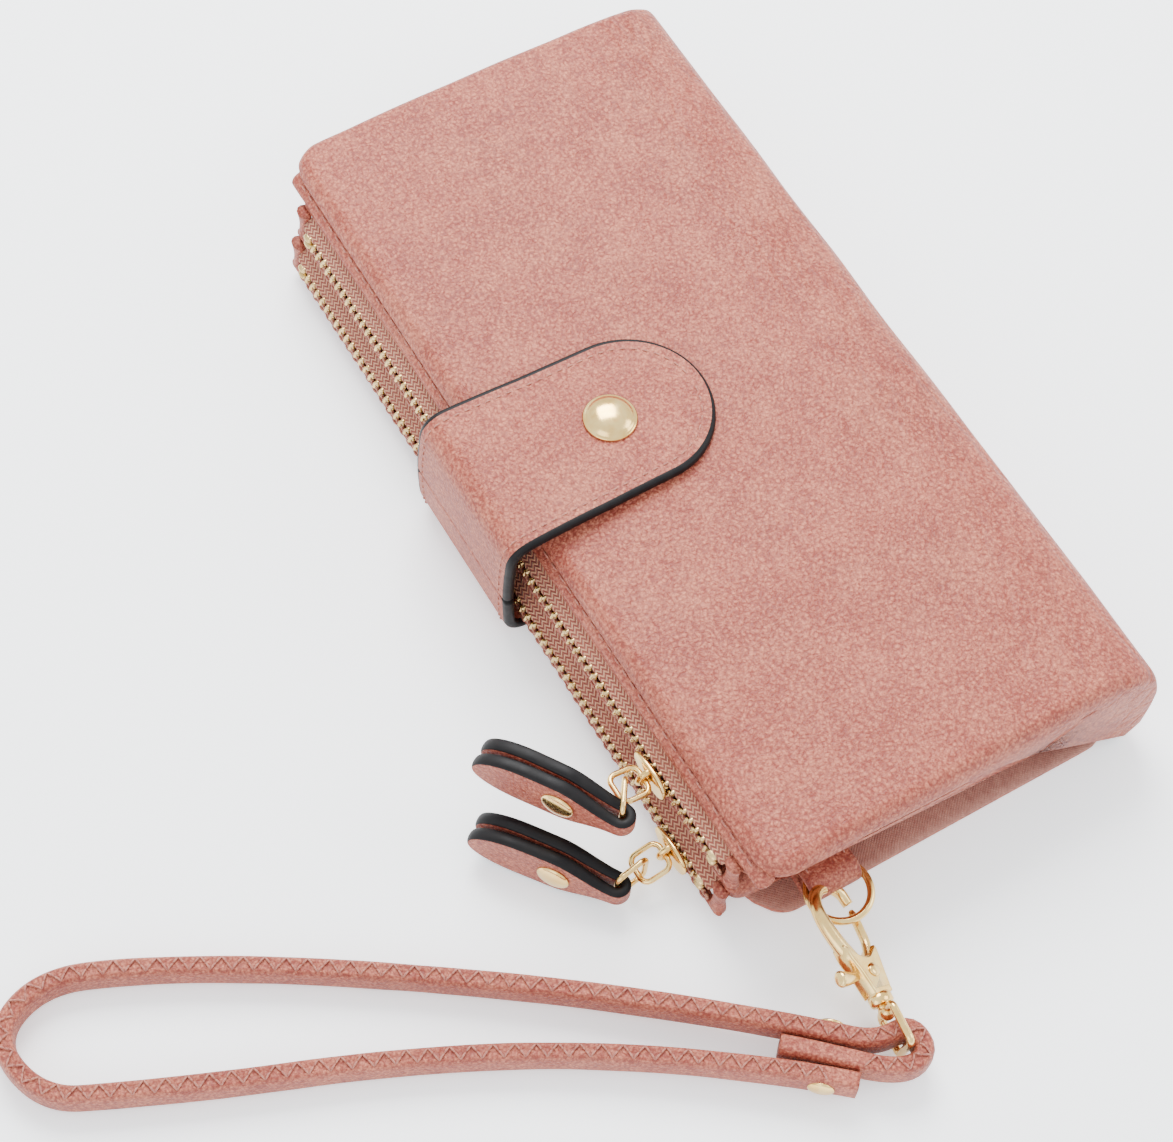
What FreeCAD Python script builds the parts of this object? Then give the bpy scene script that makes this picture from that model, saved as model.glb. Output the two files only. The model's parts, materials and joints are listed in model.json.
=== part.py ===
import FreeCAD, Part

import math
import os

# A two-fold wristlet wallet, closed and lying on its back cover. Millimetres.
# +X runs along the wallet towards the end that holds the wrist strap, +Y towards the
# spine, +Z out of the front cover. The origin is the middle of the back cover's rest face.

V = FreeCAD.Vector
UP = V(0, 0, 1)

# Covers
wallet_length = 195.0
leaf_width = 90.0
corner_radius = 9.0
edge_radius = 2.6
leather = 1.2
board = 1.2
lining = 0.4
padding = 2.6
spine_leather = 1.4
fold_gap = 0.4
contact_gap = 0.1

# Zipped pouches
pouch_end_room = 9.5
pouch_height = 9.4
pouch_gap = 0.4
pouch_wall = 1.0
pouch_back_room = 4.0
lower_overhang = 5.6
upper_overhang = 3.8
facing_depth = 3.0
facing_side = 5.0
facing_round = 1.2
leaf_gap = 0.8

# Zips
zip_slot = 6.0
tape_thickness = 0.6
tape_depth = 0.9
tooth_pitch = 2.2
tooth_length = 1.3
tooth_depth = 2.2
tooth_reach = 1.1
tooth_middle_gap = 1.0
stop_length = 2.4
stop_catch = 0.6
end_margin = 4.0
lower_slider_inset = 15.0
upper_slider_inset = 27.0

# Zip sliders and their links
slider_length = 11.0
slider_width = 8.0
slider_plate = 1.2
slider_inner_width = 5.2
slider_clearance = 0.3
post_length = 2.0
post_width = 0.5
bail_length = 3.2
bail_width = 4.4
bail_height = 2.9
bail_wall = 1.0
link_wire = 1.2
oval_length = 7.6
oval_width = 7.4
lower_oval_slope = 18.0
upper_oval_slope = -10.0
ring_length = 8.4
ring_width = 9.0
ring_inset = 1.9
ring_rise = 0.75
link_corner = 1.7

# Zip pulls: one strip of leather folded round the link
pull_length = 30.5
pull_width = 12.4
pull_leather = 2.0
pull_neck = 4.6
pull_rivet_place = 12.0
rivet_head = 6.6
rivet_shank = 1.6
rivet_head_height = 0.7
rivet_head_round = 0.5
lower_link_heading = -80.0
upper_link_heading = -35.0
lower_pull_heading = -145.0
upper_pull_heading = -148.0

# Snap tab
tab_x = -4.0
tab_width = 35.0
tab_root_width = 37.0
tab_reach = 46.0
tab_leather = 1.3
tab_lining = 1.1
tab_clearance = 1.2
tab_bend = 5.0
tab_stand_off = 4.0
tab_anchor_length = 10.0
snap_reach = 24.0
snap_cap_diameter = 10.8
snap_cap_height = 2.2
socket_diameter = 9.0
stud_diameter = 3.4
stud_flange = 8.0
stud_flange_height = 0.4
stud_catch = 0.9
stud_washer = 6.0
stud_washer_height = 0.5
socket_stand = 0.5
snap_clearance = 0.3
snap_shank = 2.4

# Side loop and ring at the strap end
loop_inset = 16.5
loop_width = 8.0
loop_leather = 1.1
loop_rise = 6.1
ring_end_inset = 1.0
ring_wire = 1.6
ring_outer = 14.0
ring_play = 0.3
fold_inset = 4.6

# Trigger hook, drawn flat along +X and then set in place. The jaw, plate, slot and arm
# are outlines of corners about the hook's long axis.
hook_from_ring = V(3.5, -3.0, 0.3)
hook_roll = -38.0
hook_pitch = 6.2
hook_yaw = -5.0
jaw_wire = 2.0
plate_wall = 0.9
plate_slot = 1.6
plate_end = 17.5
plate_corners = [(7.5, -4.4), (9.6, -1.6), (10.2, 0.8), (8.6, 4.0), (plate_end, 2.7), (plate_end, -2.7)]
slot_end = 16.4
slot_corners = [(9.6, -1.6), (8.0, 0.8), (6.0, 5.5), (slot_end, 5.5), (slot_end, -6.0), (10.2, -6.0)]
jaw_points = [(9.4, -3.2, 0), (1.2, -5.2, 0), (-4.6, -3.6, 0), (-4.6, 3.0, 0), (-0.4, 4.6, 0)]
jaw_radii = [6.0, 2.6, 2.6]
collar_length = 2.0
collar_width = 5.8
pivot_x = 13.0
pivot_diameter = 2.2
pivot_play = 0.05
pin_head_stand = 0.2
gate_hub = 4.4
gate_thickness = 1.3
gate_wire = 1.8
gate_arm = [(13.0, 1.9), (11.4, -1.2), (6.4, 3.4), (6.4, 5.0)]
gate_bar_tip = V(0.6, 4.55, 0)
gate_bar_root = V(7.0, 4.15, 0)
lever_stem_width = 2.6
lever_start = 5.0
lever_end = 9.0
lever_width = 3.2
lever_thickness = 2.2
lever_round = 1.3
lever_overlap = 0.2
swivel_shank = 2.2
swivel_head = 3.0
swivel_clearance = 0.1
swivel_head_length = 0.6
swivel_head_play = 0.1
swivel_head_room = 0.9
eye_start = 20.6
eye_length = 9.6
eye_wire = 1.6
eye_corner = 1.2
swivel_knob = 3.4
swivel_knob_offset = 0.4
eye_clearance = 0.8

# Wrist strap: a flat leather band standing on its edge
strap_width = 7.6
strap_thickness = 4.0
strap_rivet_head = 5.0
strap_route = [
    (129.8, -45.7, 6.0),
    (124.5, -51.7, 6.0),
    (117.5, -60.6, 5.6),
    (107.0, -74.5, 4.8),
    (93.5, -96.0, 4.1),
    (81.0, -122.0, 3.9),
    (71.8, -145.5, 3.9),
    (63.5, -164.5, 3.9),
    (57.5, -177.0, 3.9),
    (42.5, -180.0, 3.9),
    (36.5, -167.5, 3.9),
    (43.0, -151.5, 3.9),
    (54.5, -130.5, 3.9),
    (69.5, -107.5, 4.0),
    (86.0, -84.5, 4.6),
    (99.5, -67.5, 5.2),
    (110.5, -54.5, 5.8),
    (118.0, -46.0, 6.0),
    (124.8, -38.5, 6.0),
    (124.8, -30.9, 6.0),
    (131.8, -30.9, 6.0),
    (131.8, -37.9, 6.0),
    (121.2, -48.8, 6.0),
    (115.8, -55.0, 6.0),
]
rivet_layer = 17
rivet_from_corner = 1.5

# Card panel inside the front cover
card_length = 85.6
card_room = 4.0
pocket_leather = 0.5
pocket_free_room = 14.4
pocket_rows = 5
window_thickness = 0.4
window_height = 52.0
window_corner = 3.0

# Heights that follow from the stack
back_top = leather + board + lining
lower_bottom = back_top + contact_gap
lower_top = lower_bottom + pouch_height
upper_bottom = lower_top + pouch_gap
upper_top = upper_bottom + pouch_height
leaf_bottom = upper_top + leaf_gap
panel_bottom = leaf_bottom + pocket_leather
board_bottom = panel_bottom + leather
padding_bottom = board_bottom + board
leather_bottom = padding_bottom + padding
leaf_top = leather_bottom + leather
half_length = wallet_length / 2
half_width = leaf_width / 2
pouch_end = half_length - pouch_end_room
pouch_back = half_width - pouch_back_room
lower_reach = half_width + lower_overhang
upper_reach = half_width + upper_overhang
tab_side = lower_reach + tab_stand_off
pocket_inset = leather + card_room + contact_gap
pocket_step = (leaf_width - 2 * pocket_inset - pocket_free_room) / pocket_rows
lower_slider_x = pouch_end - lower_slider_inset
upper_slider_x = pouch_end - upper_slider_inset
flap_bottom = leaf_top + tab_clearance
flap_middle = flap_bottom + tab_lining
flap_top = flap_middle + tab_leather
snap_y = -half_width + snap_reach
loop_y = -half_width + loop_inset
loop_z = lower_bottom + loop_rise
ring_x = half_length - ring_end_inset
hook_place = V(ring_x, loop_y, loop_z) + hook_from_ring


def box(x0, x1, y0, y1, z0, z1):
    """A block from its two corners."""
    return Part.makeBox(x1 - x0, y1 - y0, z1 - z0, V(x0, y0, z0))


def rod(start, end, diameter):
    """A round bar from one point to another."""
    return Part.makeCylinder(diameter / 2, (end - start).Length, start, end - start)


def plate(x0, x1, y0, y1, z0, z1, radius):
    """A flat plate with its four upright corners rounded."""
    block = box(x0, x1, y0, y1, z0, z1)
    upright = [e for e in block.Edges if abs(e.tangentAt(e.FirstParameter).z) > 0.99]
    return block.makeFillet(radius, upright)


def prism(outline, direction):
    """A closed outline of corners, pushed along a direction."""
    wire = Part.makePolygon([V(*p) for p in outline] + [V(*outline[0])])
    return Part.Face(wire).extrude(direction)


def tangent_route(points, radii=None):
    """Straight runs joined by tangent arcs, and the arcs' radii.

    An arc's radius is the one given for its point, or else 0.45 of its shorter run
    divided by the tangent of half the turn.
    """
    points = [V(*p) for p in points]
    edges = []
    used = []
    start = points[0]
    for i in range(1, len(points) - 1):
        before = points[i] - points[i - 1]
        after = points[i + 1] - points[i]
        half_turn = before.getAngle(after) / 2
        radius = 0.45 * min(before.Length, after.Length) / math.tan(half_turn)
        if radii:
            radius = radii[i - 1]
        reach = radius * math.tan(half_turn)
        before.normalize()
        after.normalize()
        enter = points[i] - before * reach
        leave = points[i] + after * reach
        inward = after - before
        inward.normalize()
        middle = points[i] + inward * (radius / math.cos(half_turn) - radius)
        edges.append(Part.LineSegment(start, enter).toShape())
        edges.append(Part.Arc(enter, middle, leave).toShape())
        used.append(radius)
        start = leave
    edges.append(Part.LineSegment(start, points[-1]).toShape())
    return Part.Wire(edges), used


def band(route, across, width, thickness):
    """A flat band of one section along a route, its width kept along one direction."""
    start = route.Edges[0].firstVertex().Point
    along = route.Edges[0].tangentAt(route.Edges[0].FirstParameter)
    side = across.cross(along)
    side.normalize()
    out = along.cross(side)
    out.normalize()
    a = out * (width / 2)
    b = side * (thickness / 2)
    corners = [start + a + b, start - a + b, start - a - b, start + a - b]
    sweep = Part.BRepOffsetAPI.MakePipeShell(route)
    sweep.setBiNormalMode(across)
    sweep.add(Part.makePolygon(corners + corners[:1]))
    sweep.build()
    sweep.makeSolid()
    return sweep.shape()


def wire_rod(route, diameter):
    """A round bar bent along a route."""
    edge = route.Edges[0]
    start = edge.firstVertex().Point
    section = Part.Wire(Part.makeCircle(diameter / 2, start, edge.tangentAt(edge.FirstParameter)))
    sweep = Part.BRepOffsetAPI.MakePipeShell(route)
    sweep.add(section)
    sweep.build()
    sweep.makeSolid()
    return sweep.shape()


def wire_frame(length, width, corner, wire):
    """A closed frame of round wire with rounded corners, in the XY plane.

    The middle of its first short side's wire is at the origin and it runs along +X.
    Each side is a straight bar and each corner a quarter of a ring.
    """
    far = length - wire
    half = (width - wire) / 2
    sides = [
        rod(V(0, corner - half, 0), V(0, half - corner, 0), wire),
        rod(V(far, corner - half, 0), V(far, half - corner, 0), wire),
        rod(V(corner, half, 0), V(far - corner, half, 0), wire),
        rod(V(corner, -half, 0), V(far - corner, -half, 0), wire),
    ]
    quarters = []
    for x, y, turn in (
        (far - corner, half - corner, 0),
        (corner, half - corner, 90),
        (corner, corner - half, 180),
        (far - corner, corner - half, 270),
    ):
        quarter = Part.makeTorus(corner, wire / 2, V(0, 0, 0), UP, 0, 360, 90)
        quarter.rotate(V(0, 0, 0), UP, turn)
        quarter.translate(V(x, y, 0))
        quarters.append(quarter)
    return sides[0].multiFuse(sides[1:] + quarters).removeSplitter()


def group(solids):
    """Several separate solids as one node."""
    return Part.makeCompound(solids)


def save(name, shape):
    shape.exportStep("parts/" + name + ".step")
    solids = shape.Solids
    sound = shape.isValid() and len(solids) > 0
    print(f"{name:24s} solids {len(solids):4d} volume {shape.Volume:10.1f} {'ok' if sound else 'BROKEN'}")


# ---------------------------------------------------------------- back leaf


def back_cover():
    """The outer leather of the back: a flat sheet with a low turned-up rim."""
    rim_top = back_top - lining
    sheet = plate(-half_length, half_length, -half_width, half_width, 0, rim_top, corner_radius)
    low = [e for e in sheet.Edges if e.BoundBox.ZMax < 0.01]
    sheet = sheet.makeFillet(leather / 2, low)
    inner = corner_radius - leather
    hollow = plate(
        -half_length + leather,
        half_length - leather,
        -half_width + leather,
        half_width - leather,
        leather,
        rim_top + 1,
        inner,
    )
    anchor_room = box(
        tab_x - tab_root_width / 2 - contact_gap,
        tab_x + tab_root_width / 2 + contact_gap,
        -half_width - 1,
        -half_width + leather + 1,
        leather,
        rim_top + 1,
    )
    return sheet.cut(hollow).cut(anchor_room)


def back_inside(bottom, top, anchor_side):
    """A flat layer inside the back cover's rim, clear of the anchor over that width."""
    layer = plate(
        -half_length + leather,
        half_length - leather,
        -half_width + leather,
        half_width - leather,
        bottom,
        top,
        corner_radius - leather,
    )
    room = box(
        tab_x - tab_root_width / 2 - contact_gap,
        tab_x + tab_root_width / 2 + contact_gap,
        -half_width - 1,
        -half_width + anchor_side,
        bottom - 1,
        top + 1,
    )
    return layer.cut(room)


def tab_anchor():
    """The end of the tab's leather, sewn flat under the lower pouch."""
    return box(
        tab_x - tab_root_width / 2,
        tab_x + tab_root_width / 2,
        -tab_side + tab_bend,
        -half_width + tab_anchor_length,
        leather,
        leather + board,
    )


def spine():
    """The leather of the spine, from the back cover up to the front cover's fold."""
    inner = half_width + contact_gap
    panel = box(
        -half_length + corner_radius,
        half_length - corner_radius,
        inner,
        inner + spine_leather,
        leather,
        leaf_bottom - fold_gap,
    )
    outer = [
        e
        for e in panel.Edges
        if e.BoundBox.YMin > inner + spine_leather - 0.01 and e.BoundBox.XLength > 1
    ]
    return panel.makeFillet(spine_leather * 0.6, outer)


def side_loop():
    """A doubled leather strap that holds the ring at the strap end."""
    gap = ring_wire / 2 + ring_play
    outer = gap + loop_leather
    fold_x = ring_x - fold_inset
    y0 = loop_y - loop_width / 2
    legs = box(pouch_end, fold_x, y0, y0 + loop_width, loop_z - outer, loop_z + outer)
    fold = Part.makeCylinder(outer, loop_width, V(fold_x, y0, loop_z), V(0, 1, 0))
    room = box(pouch_end - 1, fold_x, y0 - 1, y0 + loop_width + 1, loop_z - gap, loop_z + gap)
    eye = Part.makeCylinder(gap, loop_width + 2, V(fold_x, y0 - 1, loop_z), V(0, 1, 0))
    return legs.fuse(fold).cut(room).cut(eye).removeSplitter()


# ---------------------------------------------------------------- pouches and zips


def pouch(reach, bottom):
    """A flat pouch sewn from five panels, open along its front side behind the zip."""
    front = -reach + facing_depth
    top = bottom + pouch_height
    panels = [
        box(-pouch_end, pouch_end, front, pouch_back, bottom, bottom + pouch_wall),
        box(-pouch_end, pouch_end, front, pouch_back, top - pouch_wall, top),
        box(
            -pouch_end,
            pouch_end,
            pouch_back - pouch_wall,
            pouch_back,
            bottom + pouch_wall,
            top - pouch_wall,
        ),
    ]
    for x in (-pouch_end, pouch_end - pouch_wall):
        panels.append(
            box(x, x + pouch_wall, front, pouch_back - pouch_wall, bottom + pouch_wall, top - pouch_wall)
        )
    return group(panels)


def zip_facing(reach, bottom):
    """The leather round a zip: a band above it, a band below it and a tab at each end."""
    middle = bottom + pouch_height / 2
    top = bottom + pouch_height
    back = -reach + facing_depth
    pieces = []
    for low, high in ((bottom, middle - zip_slot / 2), (middle + zip_slot / 2, top)):
        strip = box(-pouch_end, pouch_end, -reach, back, low, high)
        outer = top if high == top else bottom
        edges = [
            e
            for e in strip.Edges
            if e.BoundBox.YMax < -reach + 0.01
            and e.BoundBox.XLength > 1
            and abs(e.BoundBox.ZMin - outer) < 0.01
        ]
        pieces.append(strip.makeFillet(facing_round, edges))
    for x in (-pouch_end, pouch_end - facing_side):
        pieces.append(
            box(x, x + facing_side, -reach, back, middle - zip_slot / 2, middle + zip_slot / 2)
        )
    return group(pieces)


def zip_line(reach):
    """The middle of a zip's tapes and teeth in Y."""
    return -reach + tape_depth


def zip_tapes(reach, bottom):
    """Two woven tapes, each from its row of teeth to the edge of the facing."""
    middle = bottom + pouch_height / 2
    y = zip_line(reach)
    inner = tooth_middle_gap / 2 + tooth_reach
    tapes = []
    for low, high in ((middle + inner, middle + zip_slot / 2), (middle - zip_slot / 2, middle - inner)):
        tapes.append(
            box(
                -pouch_end + facing_side,
                pouch_end - facing_side,
                y - tape_thickness / 2,
                y + tape_thickness / 2,
                low,
                high,
            )
        )
    return group(tapes)


def zip_rows(reach, bottom, places, length, depth):
    """Small blocks on both tapes at the given places along the zip."""
    middle = bottom + pouch_height / 2
    y = zip_line(reach)
    near = tooth_middle_gap / 2
    blocks = []
    for row, x in places:
        low = middle + near if row > 0 else middle - near - tooth_reach
        blocks.append(
            box(
                x - length / 2,
                x + length / 2,
                y - depth / 2,
                y + depth / 2,
                low,
                low + tooth_reach,
            )
        )
    return group(blocks)


def tooth_span():
    """How far the teeth reach each way along the zip."""
    return pouch_end - facing_side - end_margin


def zip_teeth(reach, bottom):
    count = int(2 * tooth_span() / tooth_pitch)
    places = []
    for i in range(count):
        x = -tooth_span() + tooth_pitch * (i + 0.5)
        places.append((1, x - tooth_pitch / 4))
        places.append((-1, x + tooth_pitch / 4))
    return zip_rows(reach, bottom, places, tooth_length, tooth_depth)


def zip_stops(reach, bottom):
    """Blocks at both ends of the teeth, deep enough to meet the slider's plates."""
    x = tooth_span() + stop_length / 2 + tooth_pitch / 2
    places = [(row, side * x) for row in (1, -1) for side in (1, -1)]
    depth = tooth_depth + 2 * slider_clearance + stop_catch
    return zip_rows(reach, bottom, places, stop_length, depth)


def slider_outer(reach):
    """The Y of the outside of a slider's outer plate."""
    return zip_line(reach) - tooth_depth / 2 - slider_clearance - slider_plate


def zip_slider(reach, bottom, x):
    """Two plates over and under the teeth, the post between the rows and the link's bail."""
    middle = bottom + pouch_height / 2
    outer = slider_outer(reach)
    inner = zip_line(reach) + tooth_depth / 2 + slider_clearance
    half = slider_length / 2
    top = plate(
        -half,
        half,
        -slider_width / 2,
        slider_width / 2,
        0,
        slider_plate,
        slider_width / 3,
    )
    top.rotate(V(0, 0, 0), V(1, 0, 0), 90)
    top.translate(V(x, outer + slider_plate, middle))
    under = box(
        x - half + 1,
        x + half - 1,
        inner,
        inner + slider_plate,
        middle - slider_inner_width / 2,
        middle + slider_inner_width / 2,
    )
    post = box(
        x + half - 1 - post_length,
        x + half - 1,
        outer + slider_plate / 2,
        inner + slider_plate / 2,
        middle - post_width / 2,
        middle + post_width / 2,
    )
    bail = box(
        x - bail_length / 2,
        x + bail_length / 2,
        outer - bail_height,
        outer,
        middle - bail_width / 2,
        middle + bail_width / 2,
    )
    outside = [e for e in bail.Edges if e.BoundBox.YMax < outer - bail_height + 0.01]
    bail = bail.makeFillet(bail_wall * 0.6, outside)
    hole = box(
        x - bail_length,
        x + bail_length,
        outer - bail_height + bail_wall,
        outer,
        middle - bail_width / 2 + bail_wall,
        middle + bail_width / 2 - bail_wall,
    )
    return top.multiFuse([under, post, bail.cut(hole)]).removeSplitter()


def link_axis(reach, bottom):
    """Where the oval link's wire lies in the bail: its Y and Z."""
    outer = slider_outer(reach)
    return outer - (bail_height - bail_wall) / 2, bottom + pouch_height / 2


def ring_axis(reach, bottom, oval_slope):
    """Where the oval link's far wire lies: its Y and Z."""
    y, z = link_axis(reach, bottom)
    slope = math.radians(oval_slope)
    long = oval_length - link_wire
    return y - long * math.cos(slope), z - long * math.sin(slope)


def oval_link(reach, bottom, oval_slope, x):
    """The link that hangs out of the slider's bail."""
    frame = wire_frame(oval_length, oval_width, link_corner, link_wire)
    frame.rotate(V(0, 0, 0), UP, -90)
    frame.rotate(V(0, 0, 0), V(1, 0, 0), oval_slope)
    y, z = link_axis(reach, bottom)
    frame.translate(V(x, y, z))
    return frame


def ring_start(reach, bottom, oval_slope, x):
    """The middle of the second link's near wire, inside the oval link."""
    y, z = ring_axis(reach, bottom, oval_slope)
    return V(x, y + ring_inset, z + ring_rise)


def ring_link(reach, bottom, oval_slope, x, heading):
    """The second link, which stands upright and carries the pull."""
    frame = wire_frame(ring_length, ring_width, link_corner, link_wire)
    frame.rotate(V(0, 0, 0), V(1, 0, 0), 90)
    frame.rotate(V(0, 0, 0), UP, heading)
    frame.translate(ring_start(reach, bottom, oval_slope, x))
    return frame


def pull_pivot(reach, bottom, oval_slope, x, heading):
    """The middle of the second link's far wire, which the pull folds round."""
    turn = math.radians(heading)
    long = ring_length - link_wire
    return ring_start(reach, bottom, oval_slope, x) + V(math.cos(turn), math.sin(turn), 0) * long


def pull_outline():
    """The side view of a pull: a rounded free end that widens and narrows to the fold."""
    half = pull_width / 2
    neck = pull_neck / 2
    tip = pull_length
    edges = [
        Part.LineSegment(V(-pull_neck, 0, -neck), V(0, 0, -neck)).toShape(),
        Part.Arc(V(0, 0, -neck), V(tip * 0.25, 0, -half * 0.86), V(tip * 0.5, 0, -half)).toShape(),
        Part.Arc(V(tip * 0.5, 0, -half), V(tip * 0.86, 0, -half * 0.62), V(tip, 0, half * 0.25)).toShape(),
        Part.Arc(V(tip, 0, half * 0.25), V(tip * 0.96, 0, half * 0.8), V(tip * 0.8, 0, half)).toShape(),
        Part.Arc(V(tip * 0.8, 0, half), V(tip * 0.3, 0, half * 0.9), V(0, 0, neck)).toShape(),
        Part.LineSegment(V(0, 0, neck), V(-pull_neck, 0, neck)).toShape(),
        Part.LineSegment(V(-pull_neck, 0, neck), V(-pull_neck, 0, -neck)).toShape(),
    ]
    return Part.Face(Part.Wire(edges))


def pull_gap():
    """Half the gap between a pull's two layers, where the link runs."""
    return link_wire / 2 + slider_clearance


def pull_leaf():
    """One strip of leather folded round the link, seen from above as a narrow U."""
    gap = pull_gap()
    outer = gap + pull_leather
    height = pull_width
    legs = box(0, pull_length, -outer, outer, -height / 2, height / 2)
    fold = Part.makeCylinder(outer, height, V(0, 0, -height / 2), UP)
    room = box(0, pull_length + 1, -gap, gap, -height, height)
    eye = Part.makeCylinder(gap, 2 * height, V(0, 0, -height), UP)
    strip = legs.fuse(fold).cut(room).cut(eye)
    outline = pull_outline().extrude(V(0, 4 * outer, 0))
    outline.translate(V(0, -2 * outer, 0))
    hole = rod(V(pull_rivet_place, -outer - 1, 0), V(pull_rivet_place, outer + 1, 0), rivet_shank)
    return strip.common(outline).cut(hole).removeSplitter()


def pull_rivet():
    """A shank through both layers with a low domed head on each side."""
    outer = pull_gap() + pull_leather
    shank = rod(V(pull_rivet_place, -outer, 0), V(pull_rivet_place, outer, 0), rivet_shank)
    heads = []
    for side in (1, -1):
        start = V(pull_rivet_place, side * outer, 0)
        head = rod(start, start + V(0, side * rivet_head_height, 0), rivet_head)
        rim = [e for e in head.Edges if abs(abs(e.BoundBox.Center.y) - outer - rivet_head_height) < 0.01]
        rim = [e for e in rim if e.BoundBox.YLength < 0.01]
        heads.append(head.makeFillet(rivet_head_round, rim))
    return shank.multiFuse(heads).removeSplitter()


def set_pull(shape, pivot, heading):
    """Turn a pull piece from +X to its heading and hang it on its pivot."""
    shape.rotate(V(0, 0, 0), UP, heading)
    shape.translate(pivot)
    return shape


# ---------------------------------------------------------------- front leaf


def stud_hole(diameter):
    depth = 4 * leather + padding + board
    return Part.makeCylinder(diameter / 2, depth, V(tab_x, snap_y, board_bottom - leather))


def front_cover():
    """The outer leather of the front, turned down all round."""
    outer = plate(-half_length, half_length, -half_width, half_width, panel_bottom, leaf_top, corner_radius)
    top = [e for e in outer.Edges if e.BoundBox.ZMin > leaf_top - 0.01]
    outer = outer.makeFillet(edge_radius, top)
    hollow = plate(
        -half_length + leather,
        half_length - leather,
        -half_width + leather,
        half_width - leather,
        panel_bottom - 1,
        leather_bottom,
        corner_radius - leather,
    )
    upper = [e for e in hollow.Edges if e.BoundBox.ZMin > leather_bottom - 0.01]
    hollow = hollow.makeFillet(edge_radius - leather, upper)
    return outer.cut(hollow).cut(stud_hole(snap_shank))


def leaf_inside(bottom, top):
    return plate(
        -half_length + leather,
        half_length - leather,
        -half_width + leather,
        half_width - leather,
        bottom,
        top,
        corner_radius - leather,
    )


def front_padding():
    """A thin soft pad under the cover's leather."""
    pad = leaf_inside(padding_bottom, leather_bottom)
    upper = [e for e in pad.Edges if e.BoundBox.ZMin > leather_bottom - 0.01]
    return pad.makeFillet(edge_radius - leather, upper).cut(stud_hole(snap_shank))


def snap_stud():
    """The post of the snap, riveted through the cover with a washer on the board."""
    middle = V(tab_x, snap_y, 0)
    washer = washer_room()
    shank = rod(middle + V(0, 0, padding_bottom), middle + V(0, 0, leaf_top), snap_shank)
    flange = Part.makeCylinder(stud_flange / 2, stud_flange_height, middle + V(0, 0, leaf_top))
    post = rod(middle + V(0, 0, leaf_top), middle + V(0, 0, flap_bottom + stud_catch), stud_diameter)
    return washer.multiFuse([shank, flange, post]).removeSplitter()


def washer_room():
    return Part.makeCylinder(stud_washer / 2, stud_washer_height, V(tab_x, snap_y, padding_bottom))


def front_hem():
    """The bound edge of the card panel, all round the inside of the front cover."""
    ring = plate(
        -half_length + leather,
        half_length - leather,
        -half_width + leather,
        half_width - leather,
        leaf_bottom,
        panel_bottom,
        corner_radius - leather,
    )
    inset = leather + card_room
    inside = box(
        -half_length + inset,
        half_length - inset,
        -half_width + inset,
        half_width - inset,
        leaf_bottom - 1,
        panel_bottom + 1,
    )
    return ring.cut(inside)


def card_pockets():
    """Rows of card slots: each strip stands one step clear of the next."""
    width = card_length + card_room
    start = -half_length + pocket_inset
    low = half_width - pocket_inset
    strips = []
    for row in range(pocket_rows):
        high = low - row * pocket_step
        strips.append(
            box(start, start + width, high - pocket_step + contact_gap, high, leaf_bottom, panel_bottom)
        )
    return group(strips)


def id_window():
    """The clear window beside the card slots."""
    end = half_length - pocket_inset
    return plate(
        end - card_length,
        end,
        half_width - pocket_inset - window_height,
        half_width - pocket_inset,
        panel_bottom - window_thickness,
        panel_bottom,
        window_corner,
    )


# ---------------------------------------------------------------- snap tab


def tab_thickness():
    return tab_leather + tab_lining


def wrap_top():
    """The height at which the upright part of the tab starts to bend over."""
    return flap_top - tab_bend


def tab_wrap():
    """The part of the tab that goes up the open side, with a bend at each end.

    Its lower end is pared thin where it goes under the pouch.
    """
    thick = tab_thickness()
    x0 = tab_x - tab_root_width / 2
    outer = -tab_side
    upright = box(x0, x0 + tab_root_width, outer, outer + thick, leather + tab_bend, wrap_top())
    bends = []
    for z, side in ((wrap_top(), 1), (leather + tab_bend, -1)):
        axis = V(x0, outer + tab_bend, z)
        sleeve = Part.makeCylinder(tab_bend, tab_root_width, axis, V(1, 0, 0))
        sleeve = sleeve.cut(Part.makeCylinder(tab_bend - thick, tab_root_width, axis, V(1, 0, 0)))
        low = z if side > 0 else z - tab_bend - 1
        quarter = box(x0, x0 + tab_root_width, outer - 1, outer + tab_bend, low, low + tab_bend + 1)
        bends.append(sleeve.common(quarter))
    under_pouch = box(
        x0 - 1,
        x0 + tab_root_width + 1,
        -lower_reach - contact_gap,
        outer + tab_bend + 1,
        lower_bottom - contact_gap,
        lower_top,
    )
    return upright.multiFuse(bends).cut(under_pouch).removeSplitter()


def flap_outline(bottom, top):
    """The tab's plan: straight sides that narrow a little to a round end."""
    root = -tab_side + tab_bend + contact_gap
    end = -half_width + tab_reach
    half = tab_width / 2
    round_y = end - half
    wide = tab_root_width / 2
    edges = [
        Part.LineSegment(V(tab_x - half, round_y, 0), V(tab_x - wide, root, 0)).toShape(),
        Part.LineSegment(V(tab_x - wide, root, 0), V(tab_x + wide, root, 0)).toShape(),
        Part.LineSegment(V(tab_x + wide, root, 0), V(tab_x + half, round_y, 0)).toShape(),
        Part.Arc(V(tab_x + half, round_y, 0), V(tab_x, end, 0), V(tab_x - half, round_y, 0)).toShape(),
    ]
    sheet = Part.Face(Part.Wire(edges)).extrude(V(0, 0, top - bottom))
    sheet.translate(V(0, 0, bottom))
    return sheet


def tab_flap():
    return flap_outline(flap_middle, flap_top).cut(
        Part.makeCylinder(snap_shank / 2, 10, V(tab_x, snap_y, flap_bottom))
    )


def tab_flap_lining():
    return flap_outline(flap_bottom, flap_middle).cut(
        Part.makeCylinder(socket_diameter / 2, 10, V(tab_x, snap_y, flap_bottom - 5))
    )


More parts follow.
